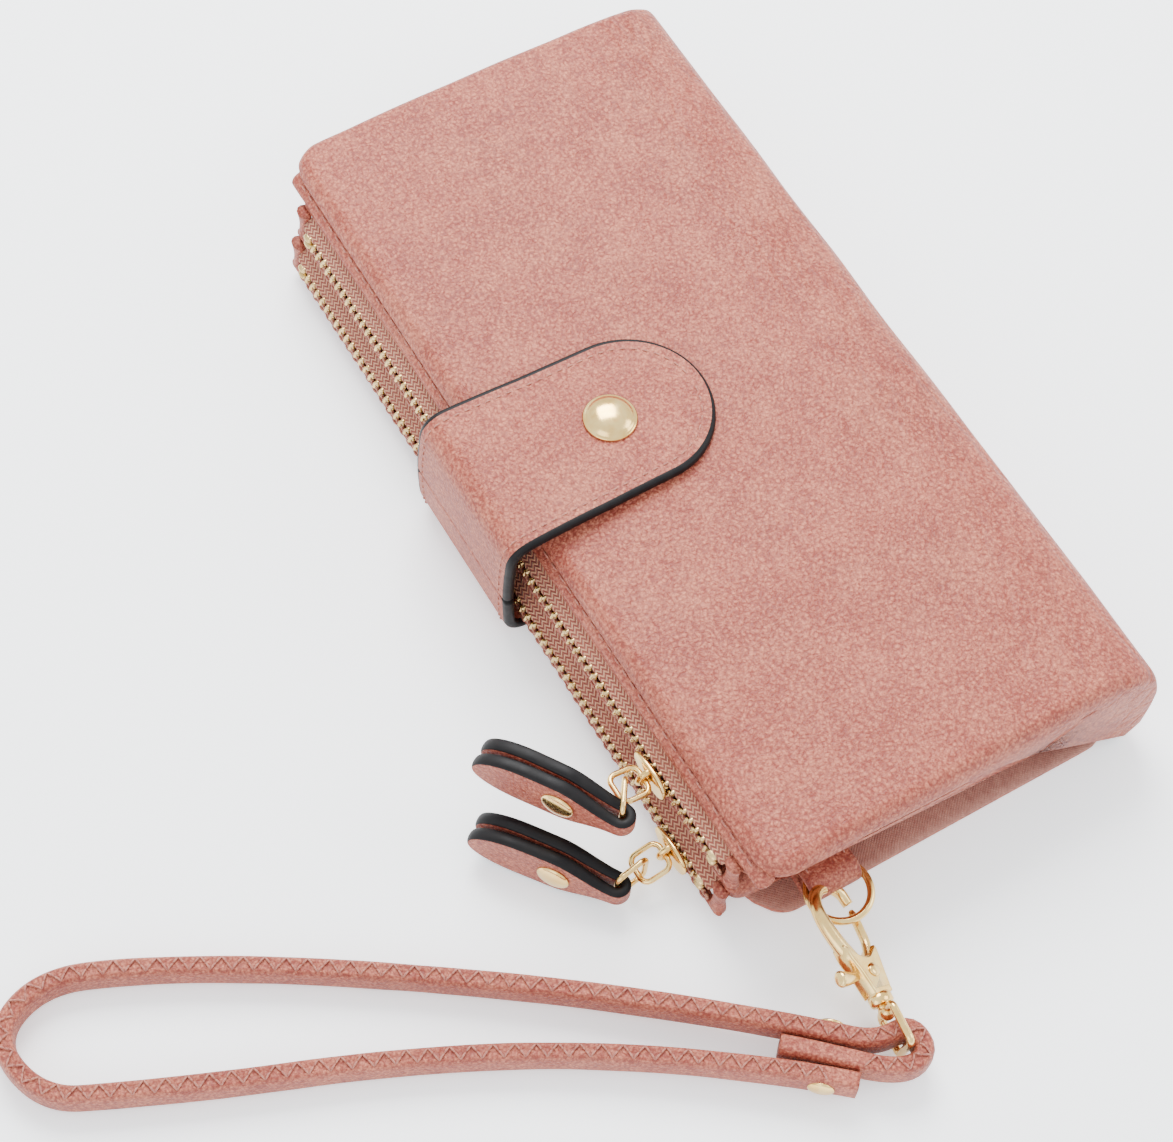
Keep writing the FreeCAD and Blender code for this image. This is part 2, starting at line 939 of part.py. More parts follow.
def snap_cap():
    """A shallow dome over the tab with a shank down to the socket."""
    radius = snap_cap_diameter / 2
    ball = (radius**2 + snap_cap_height**2) / (2 * snap_cap_height)
    base = V(tab_x, snap_y, flap_top)
    dome = Part.makeSphere(ball, base + V(0, 0, snap_cap_height - ball))
    dome = dome.common(Part.makeCylinder(radius, snap_cap_height + 1, base))
    shank = rod(V(tab_x, snap_y, flap_middle), base + V(0, 0, snap_cap_height / 2), snap_shank)
    return dome.fuse(shank).removeSplitter()


def snap_socket():
    """The spring socket under the tab, a cup that the stud presses into."""
    low = flap_bottom - socket_stand
    middle = V(tab_x, snap_y, 0)
    cup = Part.makeCylinder(socket_diameter / 2, flap_middle - low, middle + V(0, 0, low))
    room = stud_diameter / 2 + snap_clearance
    return cup.cut(Part.makeCylinder(room, flap_bottom + 1 - low + 0.1, middle + V(0, 0, low - 0.1)))


# ---------------------------------------------------------------- ring, hook and strap


def side_ring():
    radius = (ring_outer - ring_wire) / 2
    return Part.makeTorus(radius, ring_wire / 2, V(ring_x, loop_y, loop_z), UP)


def place_hook(shape, roll):
    """Turn a piece about the hook's long axis, then set the hook's slope, heading and place."""
    shape.rotate(V(0, 0, 0), V(1, 0, 0), roll)
    shape.rotate(V(0, 0, 0), V(0, 1, 0), hook_pitch)
    shape.rotate(V(0, 0, 0), UP, hook_yaw)
    shape.translate(hook_place)
    return shape


def plate_half():
    return plate_slot / 2 + plate_wall


def raised(corners, thickness):
    """A flat piece of one thickness, centred on the hook's own plane."""
    return prism([(x, y, -thickness / 2) for x, y in corners], V(0, 0, thickness))


def hook_body():
    """A tapered double plate with the fixed jaw at one end and the collar at the other."""
    half = plate_half()
    body = raised(plate_corners, 2 * half)
    slot = raised(slot_corners, plate_slot)
    end = plate_end + collar_length
    collar = box(plate_end, end, -collar_width / 2, collar_width / 2, -half, half)
    route, _ = tangent_route(jaw_points, jaw_radii)
    jaw = wire_rod(route, jaw_wire)
    head_start = V(slot_end - swivel_head_room, 0, 0)
    bore = rod(head_start, V(end + 1, 0, 0), swivel_shank + 2 * swivel_clearance)
    room = rod(head_start, V(slot_end, 0, 0), swivel_head + 2 * swivel_clearance)
    pin = rod(V(pivot_x, 0, -half - 1), V(pivot_x, 0, half + 1), pivot_diameter)
    return body.cut(slot).multiFuse([collar, jaw]).cut(bore).cut(room).cut(pin).removeSplitter()


def hook_pin():
    """The rivet that the gate turns on."""
    end = plate_half() + pin_head_stand
    return rod(V(pivot_x, 0, -end), V(pivot_x, 0, end), pivot_diameter)


def hook_gate():
    """The bar that closes the hook, its hub on the pin and its thumb lever."""
    t = gate_thickness / 2
    hub = Part.makeCylinder(gate_hub / 2, gate_thickness, V(pivot_x, 0, -t))
    arm = raised(gate_arm, gate_thickness)
    bar = rod(gate_bar_tip, gate_bar_root, gate_wire)
    stem_half = lever_stem_width / 2
    stem = box(pivot_x - stem_half, pivot_x + stem_half, -lever_start - lever_overlap, 0, -t, t)
    half = lever_width / 2
    deep = lever_thickness / 2
    thumb = box(pivot_x - half, pivot_x + half, -lever_end, -lever_start, -deep, deep)
    ends = [e for e in thumb.Edges if e.BoundBox.ZLength > deep and e.BoundBox.YMax < -lever_end + 0.1]
    thumb = thumb.makeFillet(lever_round, ends)
    bore = rod(V(pivot_x, 0, -2 * t), V(pivot_x, 0, 2 * t), pivot_diameter + 2 * pivot_play)
    return hub.multiFuse([arm, bar, stem, thumb]).cut(bore).removeSplitter()


def swivel_eye():
    """A headed shank that turns in the collar and carries the strap's upright eye."""
    width = strap_width + 2 * (eye_clearance + eye_wire)
    frame = wire_frame(eye_length, width, eye_corner, eye_wire)
    frame.rotate(V(0, 0, 0), V(1, 0, 0), 90)
    frame.translate(V(eye_start, 0, 0))
    head_end = slot_end - swivel_head_play
    head_start = head_end - swivel_head_length
    shank = rod(V(head_start, 0, 0), V(eye_start, 0, 0), swivel_shank)
    head = rod(V(head_start, 0, 0), V(head_end, 0, 0), swivel_head)
    knob = Part.makeSphere(swivel_knob / 2, V(eye_start + swivel_knob_offset, 0, 0))
    return frame.multiFuse([shank, head, knob]).removeSplitter()


def strap_points(first, last):
    """The two ends of one run of the strap's route."""
    return V(*strap_route[first]), V(*strap_route[last])


def strap_rivet_line():
    """The outer faces of the three layers where the rivet goes through, and its direction."""
    start, end = strap_points(rivet_layer, rivet_layer + 1)
    along = end - start
    along.normalize()
    across = along.cross(UP)
    across.normalize()
    place = start + along * rivet_from_corner
    place.z = start.z
    low_start, _ = strap_points(1, 0)
    span = (low_start - start).dot(across)
    half = strap_thickness / 2
    return place - across * half, place + across * (span + half), across


def wrist_strap():
    route, radii = tangent_route(strap_route)
    strap = band(route, UP, strap_width, strap_thickness)
    section = strap_width * strap_thickness
    print("strap length", round(route.Length, 1))
    print("strap volume over section times length", round(strap.Volume / section / route.Length, 4))
    print("strap radii", [round(r, 1) for r in radii])
    start, end, across = strap_rivet_line()
    return strap.cut(rod(start - across * 2, end + across * 2, rivet_shank))


def strap_rivet():
    """The rivet through the strap's three layers."""
    start, end, across = strap_rivet_line()
    shank = rod(start, end, rivet_shank)
    first = rod(start - across * rivet_head_height, start, strap_rivet_head)
    last = rod(end, end + across * rivet_head_height, strap_rivet_head)
    return shank.multiFuse([first, last]).removeSplitter()


# ---------------------------------------------------------------- build

os.makedirs("parts", exist_ok=True)

save("back_cover", back_cover())
save("back_board", back_inside(leather, leather + board, tab_anchor_length + contact_gap))
save("back_lining", back_inside(leather + board, back_top, 0))
save("tab_anchor", tab_anchor())
save("spine", spine())
save("side_loop", side_loop())

for name, reach, bottom, slider_x, oval_slope, link_heading, pull_heading in (
    (
        "lower",
        lower_reach,
        lower_bottom,
        lower_slider_x,
        lower_oval_slope,
        lower_link_heading,
        lower_pull_heading,
    ),
    (
        "upper",
        upper_reach,
        upper_bottom,
        upper_slider_x,
        upper_oval_slope,
        upper_link_heading,
        upper_pull_heading,
    ),
):
    save(name + "_pouch", pouch(reach, bottom))
    save(name + "_zip_facing", zip_facing(reach, bottom))
    save(name + "_zip_tapes", zip_tapes(reach, bottom))
    save(name + "_zip_teeth", zip_teeth(reach, bottom))
    save(name + "_zip_stops", zip_stops(reach, bottom))
    save(name + "_slider", zip_slider(reach, bottom, slider_x))
    save(name + "_oval_link", oval_link(reach, bottom, oval_slope, slider_x))
    save(name + "_ring_link", ring_link(reach, bottom, oval_slope, slider_x, link_heading))
    pivot = pull_pivot(reach, bottom, oval_slope, slider_x, link_heading)
    save(name + "_pull", set_pull(pull_leaf(), pivot, pull_heading))
    save(name + "_pull_rivet", set_pull(pull_rivet(), pivot, pull_heading))
    print(name, "link axis", link_axis(reach, bottom))
    print(name, "ring axis", ring_axis(reach, bottom, oval_slope), "pull pivot", pivot)

save("front_cover", front_cover())
save("front_padding", front_padding().cut(washer_room()))
save("front_board", leaf_inside(board_bottom, padding_bottom))
save("card_panel", leaf_inside(panel_bottom, board_bottom))
save("front_hem", front_hem())
save("card_pockets", card_pockets())
save("id_window", id_window())
save("snap_stud", snap_stud())

save("tab_wrap", tab_wrap())
save("tab_flap", tab_flap())
save("tab_flap_lining", tab_flap_lining())
save("snap_cap", snap_cap())
save("snap_socket", snap_socket())

save("side_ring", side_ring())
save("hook_body", place_hook(hook_body(), hook_roll))
save("hook_pin", place_hook(hook_pin(), hook_roll))
save("hook_gate", place_hook(hook_gate(), hook_roll))
save("swivel_eye", place_hook(swivel_eye(), 0))
save("wrist_strap", wrist_strap())
save("strap_rivet", strap_rivet())
print("leaf bottom", leaf_bottom, "leaf top", leaf_top, "flap", flap_bottom, flap_top)
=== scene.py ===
import json
import math

import bmesh
import bpy
from mathutils import Matrix, Vector, noise


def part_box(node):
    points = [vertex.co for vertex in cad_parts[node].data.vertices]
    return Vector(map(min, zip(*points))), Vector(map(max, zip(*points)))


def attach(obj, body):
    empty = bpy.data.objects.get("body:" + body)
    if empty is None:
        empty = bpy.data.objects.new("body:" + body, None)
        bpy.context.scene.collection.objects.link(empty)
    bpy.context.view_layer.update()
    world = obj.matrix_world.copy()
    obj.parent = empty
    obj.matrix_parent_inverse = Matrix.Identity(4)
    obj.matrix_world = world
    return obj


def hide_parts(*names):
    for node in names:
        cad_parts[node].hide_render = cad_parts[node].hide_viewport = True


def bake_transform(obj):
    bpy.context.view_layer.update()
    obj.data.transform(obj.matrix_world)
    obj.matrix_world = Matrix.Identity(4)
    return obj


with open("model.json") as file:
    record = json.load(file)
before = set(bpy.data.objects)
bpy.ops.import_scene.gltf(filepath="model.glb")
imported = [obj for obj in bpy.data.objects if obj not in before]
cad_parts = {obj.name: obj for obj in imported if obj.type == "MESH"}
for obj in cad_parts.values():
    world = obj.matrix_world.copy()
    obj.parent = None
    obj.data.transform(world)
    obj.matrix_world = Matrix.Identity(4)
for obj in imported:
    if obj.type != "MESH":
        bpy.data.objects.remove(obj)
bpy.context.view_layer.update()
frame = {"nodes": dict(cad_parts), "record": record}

bl_info = {
    "name": "Wristlet wallet",
    "version": (1, 0, 0),
    "blender": (4, 5, 0),
    "location": "3D View > Sidebar > Wallet",
    "description": "Leather, zips, fittings and strap of a zipped wristlet wallet",
    "category": "Object",
}

MM = 0.001


def corner_boxes(node):
    """A CAD node's lowest and highest corner in millimetres."""
    low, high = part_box(node)
    return Vector(low) / MM, Vector(high) / MM


# ---------------------------------------------------------------- settings


class WalletCoverSettings(bpy.types.PropertyGroup):
    """Shape of the padded cover."""

    crown: bpy.props.FloatProperty(
        name="Crown", description="Rise of the cover's middle", default=0.0016, unit="LENGTH"
    )
    roll: bpy.props.FloatProperty(
        name="Roll", description="Radius of the rolled ends", default=0.0032, unit="LENGTH"
    )
    softness: bpy.props.FloatProperty(
        name="Softness", description="Height of the soft unevenness", default=0.00060, unit="LENGTH"
    )


class WalletStitchSettings(bpy.types.PropertyGroup):
    """Size of the sewn stitches."""

    length: bpy.props.FloatProperty(
        name="Length", description="Length of one stitch", default=0.0021, unit="LENGTH"
    )
    gap: bpy.props.FloatProperty(
        name="Gap", description="Gap between stitches", default=0.0009, unit="LENGTH"
    )
    thread: bpy.props.FloatProperty(
        name="Thread", description="Thickness of the thread", default=0.0005, unit="LENGTH"
    )


class WalletLeatherSettings(bpy.types.PropertyGroup):
    """Colours of the leather."""

    base: bpy.props.FloatVectorProperty(
        name="Base", description="Main colour",
        default=(0.330, 0.060, 0.036), size=3, subtype="COLOR"
    )
    # Also the colour, deepened, of the painted shade in the grain's valleys.
    dark: bpy.props.FloatVectorProperty(
        name="Dark", description="Colour of the darker patches",
        default=(0.255, 0.042, 0.026), size=3, subtype="COLOR"
    )
    # Also the colour, brightened, of the painted highlight on the pebble tops.
    light: bpy.props.FloatVectorProperty(
        name="Light", description="Colour of the worn patches",
        default=(0.440, 0.150, 0.088), size=3, subtype="COLOR"
    )


# ---------------------------------------------------------------- shader helpers


class Wire:
    """A shader output that adds, subtracts and multiplies like a number."""

    def __init__(self, recipe, socket):
        self.recipe = recipe
        self.socket = socket

    def maths(self, operation, other=None, swap=False):
        first, second = (other, self) if swap else (self, other)
        sockets = {0: first} if other is None else {0: first, 1: second}
        return self.recipe.add("ShaderNodeMath", {"operation": operation}, sockets)

    def __add__(self, other):
        return self.maths("ADD", other)

    __radd__ = __add__

    def __sub__(self, other):
        return self.maths("SUBTRACT", other)

    def __rsub__(self, other):
        return self.maths("SUBTRACT", other, True)

    def __mul__(self, other):
        return self.maths("MULTIPLY", other)

    __rmul__ = __mul__


class Recipe:
    """One material and the nodes that make it."""

    def __init__(self, name):
        self.material = bpy.data.materials.new(name)
        self.material.use_nodes = True
        self.tree = self.material.node_tree
        self.tree.nodes.clear()
        self.surface = self.tree.nodes.new("ShaderNodeBsdfPrincipled")
        output = self.tree.nodes.new("ShaderNodeOutputMaterial")
        self.tree.links.new(self.surface.outputs[0], output.inputs[0])

    def add(self, kind, settings=None, sockets=None, result=0):
        """A node of any kind, with its settings and inputs, as the wire it gives."""
        node = self.tree.nodes.new(kind)
        for key, value in (settings or {}).items():
            setattr(node, key, value)
        for key, value in (sockets or {}).items():
            if isinstance(value, Wire):
                self.tree.links.new(value.socket, node.inputs[key])
            else:
                node.inputs[key].default_value = value
        return Wire(self, node.outputs[result])

    def place(self):
        """Position in the piece's own frame, in metres."""
        return self.add("ShaderNodeTexCoord", result="Object")

    def split(self, vector):
        return [self.add("ShaderNodeSeparateXYZ", sockets={0: vector}, result=i) for i in range(3)]

    def scaled(self, vector, x, y, z):
        return self.add("ShaderNodeVectorMath", {"operation": "MULTIPLY"}, {0: vector, 1: (x, y, z)})

    def wave(self, kind, value, reach=0.0):
        """A repeating Math node, such as a sine or a zigzag of the given reach."""
        return self.add("ShaderNodeMath", {"operation": kind}, {0: value, 1: reach})

    def noise(self, vector, scale, detail=3.0, roughness=0.55, distortion=0.0):
        return self.add(
            "ShaderNodeTexNoise",
            sockets={
                "Vector": vector,
                "Scale": scale,
                "Detail": detail,
                "Roughness": roughness,
                "Distortion": distortion,
            },
            result="Fac",
        )

    def cells(self, vector, scale, feature="F1", randomness=1.0):
        return self.add(
            "ShaderNodeTexVoronoi",
            {"feature": feature},
            {"Vector": vector, "Scale": scale, "Randomness": randomness},
            "Distance",
        )

    def spread(self, value, low, high, to_low=0.0, to_high=1.0):
        """A value stretched from one range to another and held inside it."""
        return self.add(
            "ShaderNodeMapRange",
            {"clamp": True},
            {"Value": value, "From Min": low, "From Max": high, "To Min": to_low, "To Max": to_high},
        )

    def blend(self, amount, first, second):
        """One colour turning into another."""
        sockets = {"Factor": amount, 6: first, 7: second}
        return self.add("ShaderNodeMix", {"data_type": "RGBA"}, sockets, 2)

    def bump(self, height, distance, strength=1.0, normal=None):
        sockets = {"Height": height, "Distance": distance, "Strength": strength}
        if normal is not None:
            sockets["Normal"] = normal
        return self.add("ShaderNodeBump", None, sockets)

    def finish(self, **inputs):
        """Sets the surface's inputs by name, with spaces written as underscores."""
        for key, value in inputs.items():
            socket = self.surface.inputs[key.replace("_", " ")]
            if isinstance(value, Wire):
                self.tree.links.new(value.socket, socket)
            else:
                socket.default_value = value
        return self.material


MATERIALS = {}


def kept(function):
    """Makes each material once and gives the same one afterwards."""

    def find(*arguments):
        key = (function.__name__,) + arguments
        if key not in MATERIALS:
            MATERIALS[key] = function(*arguments)
        return MATERIALS[key]

    return find


@kept
def leather(grain=1.0, wrinkled=0.0, shade=1.0):
    """Pebbled leather with cloudy colour, lighter flecks that are partly random tone and partly painted
    highlight on the pebble tops, painted shade in the grain's valleys, and fine creases.
    """
    look = bpy.context.scene.wallet_leather

    # shade scales every colour down for a darker copy of the leather; the copy at 0.9 is painted shade on the
    # inner faces of the pulls and the ring's loop.
    def tone(rgb, strength=1.0):
        return tuple(min(1.0, c * strength * shade) for c in rgb) + (1.0,)

    r = Recipe("leather")
    place = r.place()
    stir = r.add("ShaderNodeTexNoise", sockets={"Vector": place, "Scale": 260.0}, result="Color")
    stir = r.scaled(stir, 0.0011, 0.0011, 0.0011)
    bent = r.add("ShaderNodeVectorMath", {"operation": "ADD"}, {0: place, 1: stir})
    pebble = r.cells(bent, 1250.0 * grain)
    small = r.cells(bent, 2300.0 * grain)
    cracks = r.cells(bent, 980.0 * grain, "DISTANCE_TO_EDGE")
    fine = r.noise(place, 2600.0, 2.0)
    clouds = r.noise(place, 34.0, 4.0, 0.6, 0.6)
    patches = r.noise(place, 95.0, 3.0, 0.6)
    rub = r.noise(place, 1500.0, 4.0, 0.7)

    base = r.blend(r.spread(clouds, 0.40, 0.66, 0.0, 0.8), tone(look.base), tone(look.dark))
    worn = r.spread(patches * 0.5 + clouds * 0.5, 0.50, 0.68, 0.0, 0.42)
    base = r.blend(worn, base, tone(look.light))
    grain_dark = r.blend(0.42, base, tone(look.dark, 0.42))
    # Lighter flecks: partly random tone, partly painted highlight on the pebble tops.
    flecks_and_painted_highlight = r.spread(rub * 0.62 + (1.0 - pebble) * 0.2 + patches * 0.18, 0.42, 0.66)
    base = r.blend(flecks_and_painted_highlight, grain_dark, tone(look.light, 1.22))
    # Painted shade: darker in the grain's valleys between the pebbles.
    valley_painted_shade = r.spread(cracks + (rub - 0.5) * 0.3, 0.0, 0.18, 0.42, 0.0)
    base = r.blend(valley_painted_shade, base, tone(look.dark, 0.62))

    height = (1.0 - pebble) * 0.55 + (1.0 - small) * 0.3 + r.spread(cracks, 0.0, 0.2) * 0.35 + fine * 0.15
    bump = r.bump(height, 0.00024, 0.7)
    if wrinkled > 0:
        y = r.split(place)[1]
        creases = r.cells(r.scaled(bent, 0.34, 1.0, 1.0), 190.0, "DISTANCE_TO_EDGE")
        near_fold = r.spread(y + (r.noise(place, 30.0) - 0.5) * 0.03, 0.012, 0.038, 0.06, 1.0)
        bump = r.bump(r.spread(creases, 0.0, 0.16) * near_fold, 0.00045 * wrinkled, 0.75, bump)
    rough = r.spread(rub + (patches - 0.5) * 0.3, 0.3, 0.75, 0.46, 0.64)
    return r.finish(Base_Color=base, Roughness=rough, Normal=bump, Specular_IOR_Level=0.32)


@kept
def edge_paint():
    """Thick black paint on a cut leather edge."""
    r = Recipe("edge_paint")
    place = r.place()
    lumps = r.noise(place, 380.0, 3.0)
    black, worn = (0.0025, 0.002, 0.0025, 1.0), (0.006, 0.005, 0.005, 1.0)
    return r.finish(
        Base_Color=r.blend(r.spread(lumps, 0.4, 0.7), black, worn),
        Roughness=r.spread(lumps, 0.3, 0.7, 0.42, 0.58),
        Normal=r.bump(lumps, 0.00012, 0.5),
        Specular_IOR_Level=0.18,
    )


PLATING = (
    ((0.72, 0.46, 0.14, 1.0), (0.84, 0.60, 0.24, 1.0)),
    ((0.50, 0.34, 0.13, 1.0), (0.72, 0.52, 0.24, 1.0)),
)


@kept
def gold(tone=0):
    """Pale gold plating with faint rubbing marks: tone 0 is polished, and 1 is the duller teeth."""
    r = Recipe("gold")
    place = r.place()
    smear = r.noise(place, 240.0, 4.0, 0.6, 0.4)
    scratch = r.noise(r.scaled(place, 1.0, 9.0, 3.0), 900.0, 2.0)
    marks = smear * 0.6 + scratch * 0.4
    return r.finish(
        Base_Color=r.blend(r.spread(smear, 0.35, 0.65), *PLATING[tone]),
        Metallic=1.0,
        Roughness=r.spread(marks, 0.35, 0.65, 0.12, 0.26 + 0.08 * tone),
        Normal=r.bump(marks, 0.00006, 0.35),
    )


@kept
def zip_weave():
    """Pink and beige herringbone tape."""
    r = Recipe("zip_weave")
    place = r.place()
    x, y, z = r.split(place)
    chevron = r.wave("PINGPONG", y * 0.7 + z + 0.5, 0.0008)
    slant = r.wave("PINGPONG", x + chevron * 1.1 + 0.5, 0.00055)
    thread = r.spread(slant, 0.00008, 0.0005)
    fuzz = r.noise(place, 3800.0, 3.0, 0.7)
    cloud = r.noise(place, 120.0)
    woven = r.spread(thread + (fuzz - 0.5) * 0.7, 0.25, 0.85)
    base = r.blend(woven, (0.22, 0.045, 0.028, 1.0), (0.62, 0.30, 0.17, 1.0))
    base = r.blend(r.spread(cloud, 0.45, 0.65, 0.0, 0.2), base, (0.40, 0.13, 0.075, 1.0))
    return r.finish(
        Base_Color=base,
        Roughness=r.spread(fuzz, 0.3, 0.7, 0.78, 0.95),
        Normal=r.bump(thread + fuzz * 0.35, 0.00042, 0.9),
        Sheen_Weight=0.08,
        Sheen_Roughness=0.5,
    )


@kept
def sewing_thread():
    """Twisted matching thread."""
    r = Recipe("thread")
    place = r.place()
    x, y, z = r.split(place)
    twist = r.wave("SINE", (x + y + z) * 9000.0)
    fuzz = r.noise(place, 2500.0)
    base = r.blend(r.spread(fuzz, 0.3, 0.7), (0.26, 0.07, 0.055, 1.0), (0.46, 0.19, 0.13, 1.0))
    rough = r.spread(fuzz, 0.3, 0.7, 0.55, 0.75)
    return r.finish(Base_Color=base, Roughness=rough, Normal=r.bump(twist, 0.00008, 0.5))


@kept
def lining_cloth():
    """Plain woven lining."""
    r = Recipe("lining_cloth")
    place = r.place()
    x, y, z = r.split(place)
    warp = r.wave("SINE", x * 9000.0)
    weft = r.wave("SINE", (y + z) * 9000.0)
    fuzz = r.noise(place, 900.0)
    base = r.blend(r.spread(fuzz, 0.3, 0.7), (0.26, 0.10, 0.075, 1.0), (0.36, 0.16, 0.12, 1.0))
    rough = r.spread(fuzz, 0.3, 0.7, 0.8, 0.95)
    return r.finish(Base_Color=base, Roughness=rough, Normal=r.bump(warp * weft, 0.0001, 0.6))


@kept
def stiff_board():
    """Grey-brown pressed board."""
    r = Recipe("stiff_board")
    place = r.place()
    fibre = r.noise(r.scaled(place, 1.0, 6.0, 6.0), 500.0, 4.0)
    base = r.blend(r.spread(fibre, 0.35, 0.65), (0.26, 0.21, 0.16, 1.0), (0.36, 0.30, 0.24, 1.0))
    rough = r.spread(fibre, 0.3, 0.7, 0.8, 0.95)
    return r.finish(Base_Color=base, Roughness=rough, Normal=r.bump(fibre, 0.0001, 0.5))


@kept
def clear_sheet():
    """Clear window sheet with faint scuffs."""
    r = Recipe("clear_sheet")
    place = r.place()
    scuff = r.noise(r.scaled(place, 1.0, 4.0, 1.0), 300.0, 4.0)
    return r.finish(
        Base_Color=(0.85, 0.87, 0.87, 1.0),
        Roughness=r.spread(scuff, 0.4, 0.7, 0.08, 0.3),
        Alpha=r.spread(scuff, 0.4, 0.75, 0.28, 0.42),
        Normal=r.bump(scuff, 0.00008, 0.3),
    )


# ---------------------------------------------------------------- mesh helpers

UP = Vector((0, 0, 1))


def around(count, start=0.0):
    """Angles evenly round a circle, from a share of one step on."""
    return [2 * math.pi * (k + start) / count for k in range(count)]


def soft(value, power):
    """A sine or cosine raised to a power with its sign kept, which squares off a round section."""
    return math.copysign(abs(value) ** power, value)


def smooth_line(points, count):
    """A smooth line through the points, cut into count equal steps of its parameter."""
    points = [Vector(p) for p in points]
    padded = [2 * points[0] - points[1]] + points + [2 * points[-1] - points[-2]]
    line = []
    spans = len(points) - 1
    for k in range(count + 1):
        place = min(k * spans / count, spans - 1e-6)
        i = int(place)
        t = place - i
        a, b, c, d = padded[i : i + 4]
        bend = (2 * a - 5 * b + 4 * c - d) * t * t
        line.append(0.5 * (2 * b + (c - a) * t + bend + (3 * b - a - 3 * c + d) * t**3))
    return line


def even_line(points, step):
    """Points at equal distances along a line."""
    out = [points[0].copy()]
    left = step
    for a, b in zip(points, points[1:]):
        length = (b - a).length
        at = left
        while at <= length:
            out.append(a.lerp(b, at / length))
            at += step
        left = at - length
    return out


class Shape:
    """Vertices in millimetres, faces and a material number for each face."""

    def __init__(self):
        self.points = []
        self.faces = []
        self.kinds = []

    def rings(self, rings, kinds=None, closed=True, caps=True, cap_kind=0):
        """Joins rings of points with four-sided faces."""
        first = len(self.points)
        count = len(rings[0])
        for ring in rings:
            self.points += [Vector(p) for p in ring]
        for i in range(len(rings) - 1):
            for j in range(count if closed else count - 1):
                a = first + i * count + j
                b = first + i * count + (j + 1) % count
                self.faces.append((a, b, b + count, a + count))
                self.kinds.append(kinds[j] if kinds else 0)
        if caps and closed:
            last = first + (len(rings) - 1) * count
            self.faces.append(tuple(range(first, first + count)))
            self.faces.append(tuple(range(last, last + count)))
            self.kinds += [cap_kind, cap_kind]

    def stitch(self, start, end, up, width, kind):
        """One stitch: a short thread that dips into the leather at both ends."""
        along = end - start
        side = along.cross(up).normalized() * width / 2
        rise = up.normalized() * width / 2
        rings = []
        humps = ((0.0, 0.45, -0.7), (0.18, 0.9, 0.25), (0.5, 1.0, 0.6), (0.82, 0.9, 0.25), (1.0, 0.45, -0.7))
        for t, size, height in humps:
            middle = start + along * t + rise * height
            rings.append([middle + side * math.cos(a) * size + rise * math.sin(a) * size for a in around(6)])
        self.rings(rings, [kind] * 6, cap_kind=kind)

    def dome(self, centre, axis, profile, across=Vector((1, 0, 0)), high=UP, count=24):
        """A turned knob: rings given by (radius, rise along the axis)."""
        rings = []
        for radius, rise in profile:
            middle = centre + axis * rise
            spokes = [across * math.cos(a) + high * math.sin(a) for a in around(count)]
            rings.append([middle + spoke * radius for spoke in spokes])
        self.rings(rings)

    def move(self, matrix):
        self.points = [matrix @ p for p in self.points]

    def seam(self, line, ups, kind, scale=1.0):
        """Stitches along a line, standing on the surface whose up direction is given."""
        look = bpy.context.scene.wallet_stitch
        length = look.length / MM * scale
        gap = look.gap / MM * scale
        width = look.thread / MM
        lengths = [0.0]
        for a, b in zip(line, line[1:]):
            lengths.append(lengths[-1] + (b - a).length)

        def at(distance):
            i = 0
            while i < len(line) - 2 and lengths[i + 1] < distance:
                i += 1
            t = (distance - lengths[i]) / max(lengths[i + 1] - lengths[i], 1e-6)
            return line[i].lerp(line[i + 1], t), ups[i].lerp(ups[i + 1], t)

        for k in range(int(lengths[-1] / (length + gap))):
            start, up = at(k * (length + gap) + gap / 2)
            end, _ = at(k * (length + gap) + gap / 2 + length)
            self.stitch(start, end, up, width, kind)

    def build(self, name, materials, subdivide=0, merge=0.004):
        """The finished object, in metres."""
        mesh = bpy.data.meshes.new(name)
        mesh.from_pydata([p * MM for p in self.points], [], self.faces)
        for material in materials:
            mesh.materials.append(material)
        for face, kind in zip(mesh.polygons, self.kinds):
            face.material_index = kind
            face.use_smooth = True
        work = bmesh.new()
        work.from_mesh(mesh)
        if merge:
            bmesh.ops.remove_doubles(work, verts=work.verts, dist=merge * MM)
        bmesh.ops.recalc_face_normals(work, faces=work.faces)
        work.to_mesh(mesh)
        work.free()
        piece = bpy.data.objects.new(name, mesh)
        bpy.context.scene.collection.objects.link(piece)
        if subdivide:
            modifier = piece.modifiers.new("smooth", "SUBSURF")
            modifier.levels = subdivide
            modifier.render_levels = subdivide
        return piece


def unevenness(point, size, height, seed=0.0):
    """A soft push of a surface point, from seeded noise."""
    return noise.noise(Vector((point.x / size + seed, point.y / size, point.z / size))) * height


def end_stations(half, roll, step):
    """Places along X with the size of the section there: full in the middle, rolled at both ends."""
    places = []
    turns = 7
    for k in range(turns + 1):
        angle = math.pi / 2 * k / turns
        places.append((half - roll + roll * math.sin(angle), math.cos(angle)))
    count = int((half - roll) * 2 / step)
    middle = [(-half + roll + (half - roll) * 2 * k / count, 1.0) for k in range(1, count)]
    ends = [(x, max(f, 0.02)) for x, f in places]
    return [(-x, f) for x, f in reversed(ends)] + middle + ends


